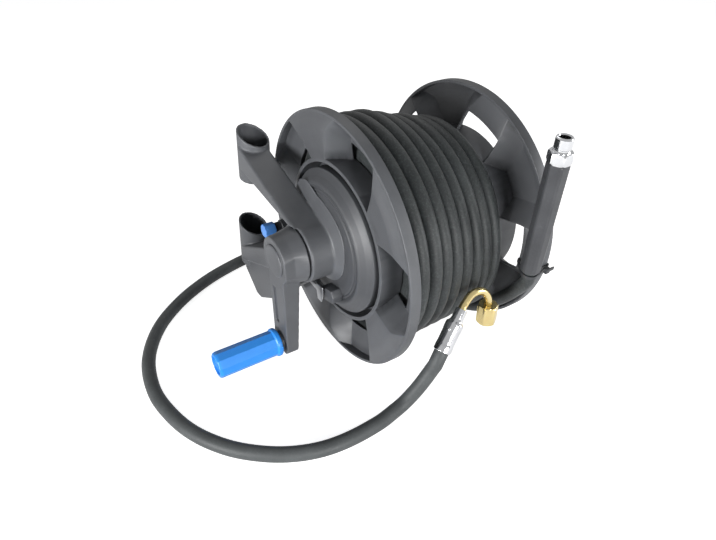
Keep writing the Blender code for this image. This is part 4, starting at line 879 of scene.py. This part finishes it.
def joined_round(work, rows):
    """Faces between each closed row of points and the next, and from the last to the first."""
    for a, b in zip(rows, rows[1:] + rows[:1]):
        for i in range(len(a)):
            j = (i + 1) % len(a)
            work.faces.new((a[i], a[j], b[j], b[i]))


core_work = bmesh.new()
core_rows = []
sections = [(angle, core_profile(angle)) for angle in range(0, 360, 3)]
longest = max(len(section) for angle, section in sections)
for angle, section in sections:
    while len(section) < longest:
        section.insert(-1, section[-2])
    core_rows.append([core_work.verts.new(polar(x, r, angle)) for x, r in section])
joined_round(core_work, core_rows)
shown(solid("inner_layers_coil", core_work, shaded_work_rubber, 60), "spool", "hose_rubber", "hose_inner_layers")

# Tail: the end of the working hose leaves the last turn, runs out to the far rim and stands up in front of
# it in a thick rubber sleeve. A plated screw fitting closes it, and a cable tie holds it to the rim.
sleeve_rubber = rubber("sleeve_rubber", (0.020, 0.021, 0.024), (0.086, 0.089, 0.096), 0.30, 0.2)
sleeve_x = REEL_WIDTH - 0.0246
foot = Vector((sleeve_x, -0.129, -0.014))
top = Vector((sleeve_x, -0.1374, 0.100))
sleeve_way = (top - foot).normalized()
way_on = (turns[-1] - turns[-2]).normalized()
tail_x, tail_radius = REEL_WIDTH - 0.0231, 0.1190
ARRIVE_ANGLE = 324.0
TAIL_STEPS = 9
tail_knots = [turns[-1] + way_on * 2 * WOUND_RADIUS]
for step in range(2, TAIL_STEPS + 1):
    angle = LEAVE_ANGLE + (ARRIVE_ANGLE - LEAVE_ANGLE) * step / TAIL_STEPS
    onward = winding_point(angle + 360.0 * full_turns)
    onward_radius = hypot(onward.y, onward.z)
    ease = eased((0.0, TAIL_STEPS), (0.0, 1.0), step)
    tail_knots.append(polar(onward.x + (tail_x - onward.x) * ease,
                            onward_radius + (tail_radius - onward_radius) * ease, angle))
tail_knots += [polar(tail_x - 0.0005, (tail_radius + 0.1295) / 2, -22.68), foot - sleeve_way * 0.014, foot,
               foot + sleeve_way * 0.03, top - sleeve_way * SEAT_GAP]
tail_points = [turns[-1]] + through_points(tail_knots, 0.0045)
shown(drawn_pipe("working_hose_end", tail_points, WOUND_RADIUS, shaded_work_rubber), "spool", "hose_rubber",
      "working_hose_tail")
sleeve_frame = axis_frame(foot, top)
sleeve_long = (top - foot).length
sleeve = turned("tail_sleeve_moulded", rounded([
    (0.0, 0.00700), (0.0, 0.0090), (0.0012, 0.0098), (0.0300, 0.0101), (sleeve_long - 0.0012, 0.0103),
    (sleeve_long, 0.0097), (sleeve_long, 0.00700)], 0.0009), sleeve_rubber, 144, turn=sleeve_frame,
    sharp=50, reach=hexagonal(0.0094))
shown(sleeve, "spool", "sleeve_rubber", "tail_sleeve")
base = sleeve_long + SEAT_GAP
hex_corner = 0.0112
fitting = turned("tail_fitting_hexagonal", [
    (base, 0.0), (base, 0.0100), (base + 0.0006, 0.0104), (base + 0.0016, hex_corner),
    (base + 0.0088, hex_corner), (base + 0.0099, 0.0104), (base + 0.0105, 0.0098), (base + 0.0106, 0.0078),
    (base + 0.0120, 0.0070), (base + 0.0130, 0.0070), (base + 0.0138, 0.0077), (base + 0.0222, 0.0077),
    (base + 0.0232, 0.0070), (base + 0.0235, 0.0064), (base + 0.0235, 0.0056), (base + 0.0226, 0.0050),
    (base + 0.0040, 0.0050), (base + 0.0040, 0.0)], silver, 144, turn=sleeve_frame, sharp=24,
    reach=hexagonal(hex_corner * cos(pi / 6)))
shown(fitting, "spool", "bright_silver", "tail_fitting")

# The tie is a flat strap drawn tight round the tail and the far rim, with its head and cut end outside.
TIE_ANGLE = -8.0
tail_at_tie = min(tail_points[len(tail_points) // 2:],
                  key=lambda point: abs(degrees(atan2(point.z, -point.y)) - TIE_ANGLE))


def hull(points):
    """The convex outline round a set of flat points."""
    halves = []
    ordered = sorted(set(points))
    for run in (ordered, ordered[::-1]):
        half = []
        for p in run:
            while len(half) > 1 and ((half[-1][0] - half[-2][0]) * (p[1] - half[-2][1])
                                     - (half[-1][1] - half[-2][1]) * (p[0] - half[-2][0])) <= 0:
                half.pop()
            half.append(p)
        halves += half[:-1]
    return halves


def circle(centre, radius, count):
    """Points round a flat circle."""
    return [(centre[0] + radius * cos(2 * pi * i / count), centre[1] + radius * sin(2 * pi * i / count))
            for i in range(count)]


strap_line = circle((tail_at_tie.x, hypot(tail_at_tie.y, tail_at_tie.z)), WOUND_RADIUS + 0.0010, 40)
for inside_end, radius in ((0.0, RIM_RADIUS), (0.0, RIM_INSIDE), (0.0194, 0.111), (0.017, 0.111)):
    strap_line += circle((REEL_WIDTH - inside_end, radius), 0.0012, 12)
strap_line = hull(strap_line)
STRAP_HALF_WIDTH, STRAP_HALF_THICK = 0.0018, 0.0006
across = Vector((0, sin(radians(TIE_ANGLE)), cos(radians(TIE_ANGLE))))
strap = bmesh.new()
rows = []
for i, (x, r) in enumerate(strap_line):
    before, after = Vector(strap_line[i - 1]), Vector(strap_line[(i + 1) % len(strap_line)])
    along = (after - before).normalized()
    out = Vector((along.y, -along.x)) * STRAP_HALF_THICK
    row = []
    for side, lift in ((-1, -1), (-1, 1), (1, 1), (1, -1)):
        spot = polar(x + out.x * lift, r + out.y * lift, TIE_ANGLE) + across * side * STRAP_HALF_WIDTH
        row.append(strap.verts.new(spot))
    rows.append(row)
joined_round(strap, rows)


def tie_block(name, inside_end, radius, size, round_by=0.0):
    """A small block on the strap, turned to stand square to the rim."""
    work = bmesh.new()
    place = Matrix.Translation(polar(REEL_WIDTH - inside_end, radius, TIE_ANGLE))
    stood = place @ Matrix.Rotation(radians(-TIE_ANGLE), 4, "X")
    bmesh.ops.create_cube(work, size=1.0, matrix=stood @ Matrix.Diagonal((*size, 1)))
    if round_by:
        bmesh.ops.bevel(work, geom=work.edges[:], offset=round_by, segments=2, profile=0.5, affect="EDGES")
    return solid(name, work)


tie_head = tie_block("tie_head", 0.0060, 0.1352, (0.0058, 0.0052, 0.0060), 0.0008)
tie_end = tie_block("tie_end", 0.0012, 0.1362, (0.0080, 0.0014, 0.0034))
tie = fitted(solid("cable_tie_strap", strap), joined=[tie_head, tie_end])
shown(covered(tie, black_plastic), "spool", "dark_plastic", "cable_tie")

# Crank: a flat sided boss on the shaft and an arm with a groove down its face, moulded in one. A cap
# covers the steel screw that holds it.
CRANK_LEAN = 2.2
CRANK_RADIUS = 0.101
crank_turn = Matrix.Rotation(radians(CRANK_LEAN), 4, "X")
crank_back, crank_front = BOSS_FACE - 0.0014, BOSS_FACE - 0.0254
arm_top = crank_front + 0.019
half = 0.015
arm_foot = -CRANK_RADIUS - half + 0.001
crank = prism("crank_arm_moulded", [
    (half, -0.006), (half, arm_foot + 0.006), (half - 0.006, arm_foot), (0.006 - half, arm_foot),
    (-half, arm_foot + 0.006), (-half, -0.006)], crank_front, arm_top, 0.0012)
taper = prism("crank_taper", [(-0.04, 0.0), (0.04, 0.0), (0.04, -0.2), (-0.04, -0.2)], 0.0, 0.019)
taper.data.transform(Matrix.Translation((arm_top - 0.001, 0.0, -0.026))
                     @ Matrix.Rotation(radians(3.6), 4, "Y"))
groove = prism("crank_groove", [(0.0015, -0.034), (0.0085, -0.034), (0.0085, -0.079), (0.0015, -0.079)],
               crank_front - 0.003, crank_front + 0.0022)
fitted(crank, cut=[taper, groove])


CHEEK = 0.0225


def squared(angle, r):
    """The boss is round at its back and has flat cheeks at its front that run into the arm."""
    if r < 0.020 or r >= 0.0255:
        return r
    return min(r, CHEEK / max(0.05, abs(cos(angle))))


crank_hub = turned("crank_hub", rounded([
    (crank_front, 0.0168), (crank_front, 0.0240), (crank_front + 0.010, 0.0250), (crank_back, 0.0280),
    (crank_back, 0.0093), (crank_back - 0.0175, 0.0093), (crank_back - 0.0175, 0.0025),
    (crank_front + 0.0052, 0.0025), (crank_front + 0.0052, 0.0062), (crank_front + 0.0018, 0.0062),
    (crank_front + 0.0018, 0.0168)], 0.0010), None, 128, reach=squared)
crank.data.transform(crank_turn)
grip_axis = crank_turn @ Vector((0.0, 0.0, -CRANK_RADIUS))
grip_seat = (grip_axis.y, grip_axis.z)
pin_hole = rod("pin_hole", crank_front - 0.01, crank_front + 0.012, 0.0055, None, 48, grip_seat)
fitted(crank, joined=[crank_hub], cut=[pin_hole])
shown(flowed(crank, 0.0006, 4, grey_plastic), "spool", "grey_plastic", "crank_arm")
shown(turned("crank_cap_domed", rounded([
    (crank_front + 0.0015, 0.0), (crank_front + 0.0015, 0.0165), (crank_front - 0.0004, 0.0165),
    (crank_front - 0.0012, 0.0154), (crank_front - 0.0014, 0.0090), (crank_front - 0.0014, 0.0)], 0.0006),
    grey_plastic, 96), "spool", "grey_plastic", "crank_cap")
dressed(steel, "crank_screw", "grip_pin")
dressed(black_plastic, "grip_washer")

# Hand grip: a bright blue moulding that turns on its pin. It has a collar at the crank, long shallow flats
# for the fingers, and a recessed plug at its outer end.
grip_blue = blue("grip_plastic", (0.012, 0.180, 0.600), (0.032, 0.280, 0.800))
grip_near = crank_front - 0.004
grip_far = grip_near - 0.068
hand_grip = turned("hand_grip_moulded", rounded([
    (grip_near, 0.0056), (grip_near, 0.0145), (grip_near - 0.0012, 0.0152), (grip_near - 0.0045, 0.0152),
    (grip_near - 0.0058, 0.0136), (grip_far + 0.0030, 0.0136), (grip_far + 0.0006, 0.0128),
    (grip_far, 0.0118), (grip_far, 0.0100), (grip_far + 0.0022, 0.0096), (grip_far + 0.0022, 0.0),
    (grip_far + 0.0096, 0.0), (grip_far + 0.0096, 0.0056)], 0.0006), grip_blue, 160, grip_seat,
    reach=with_flats(10, 0.0112, 0.0138, 1.02), sharp=20)
shown(hand_grip, "grip", "blue_plastic", "hand_grip")

# Water inlet: a brass spigot in the shaft's far end, an elbow that turns on it and a plated crimp that
# grips the leader hose. They are hidden behind the far flange, and the CAD's own solids stay.
dressed(brass, "inlet_spigot", "inlet_elbow")
dressed(silver, "inlet_crimp")
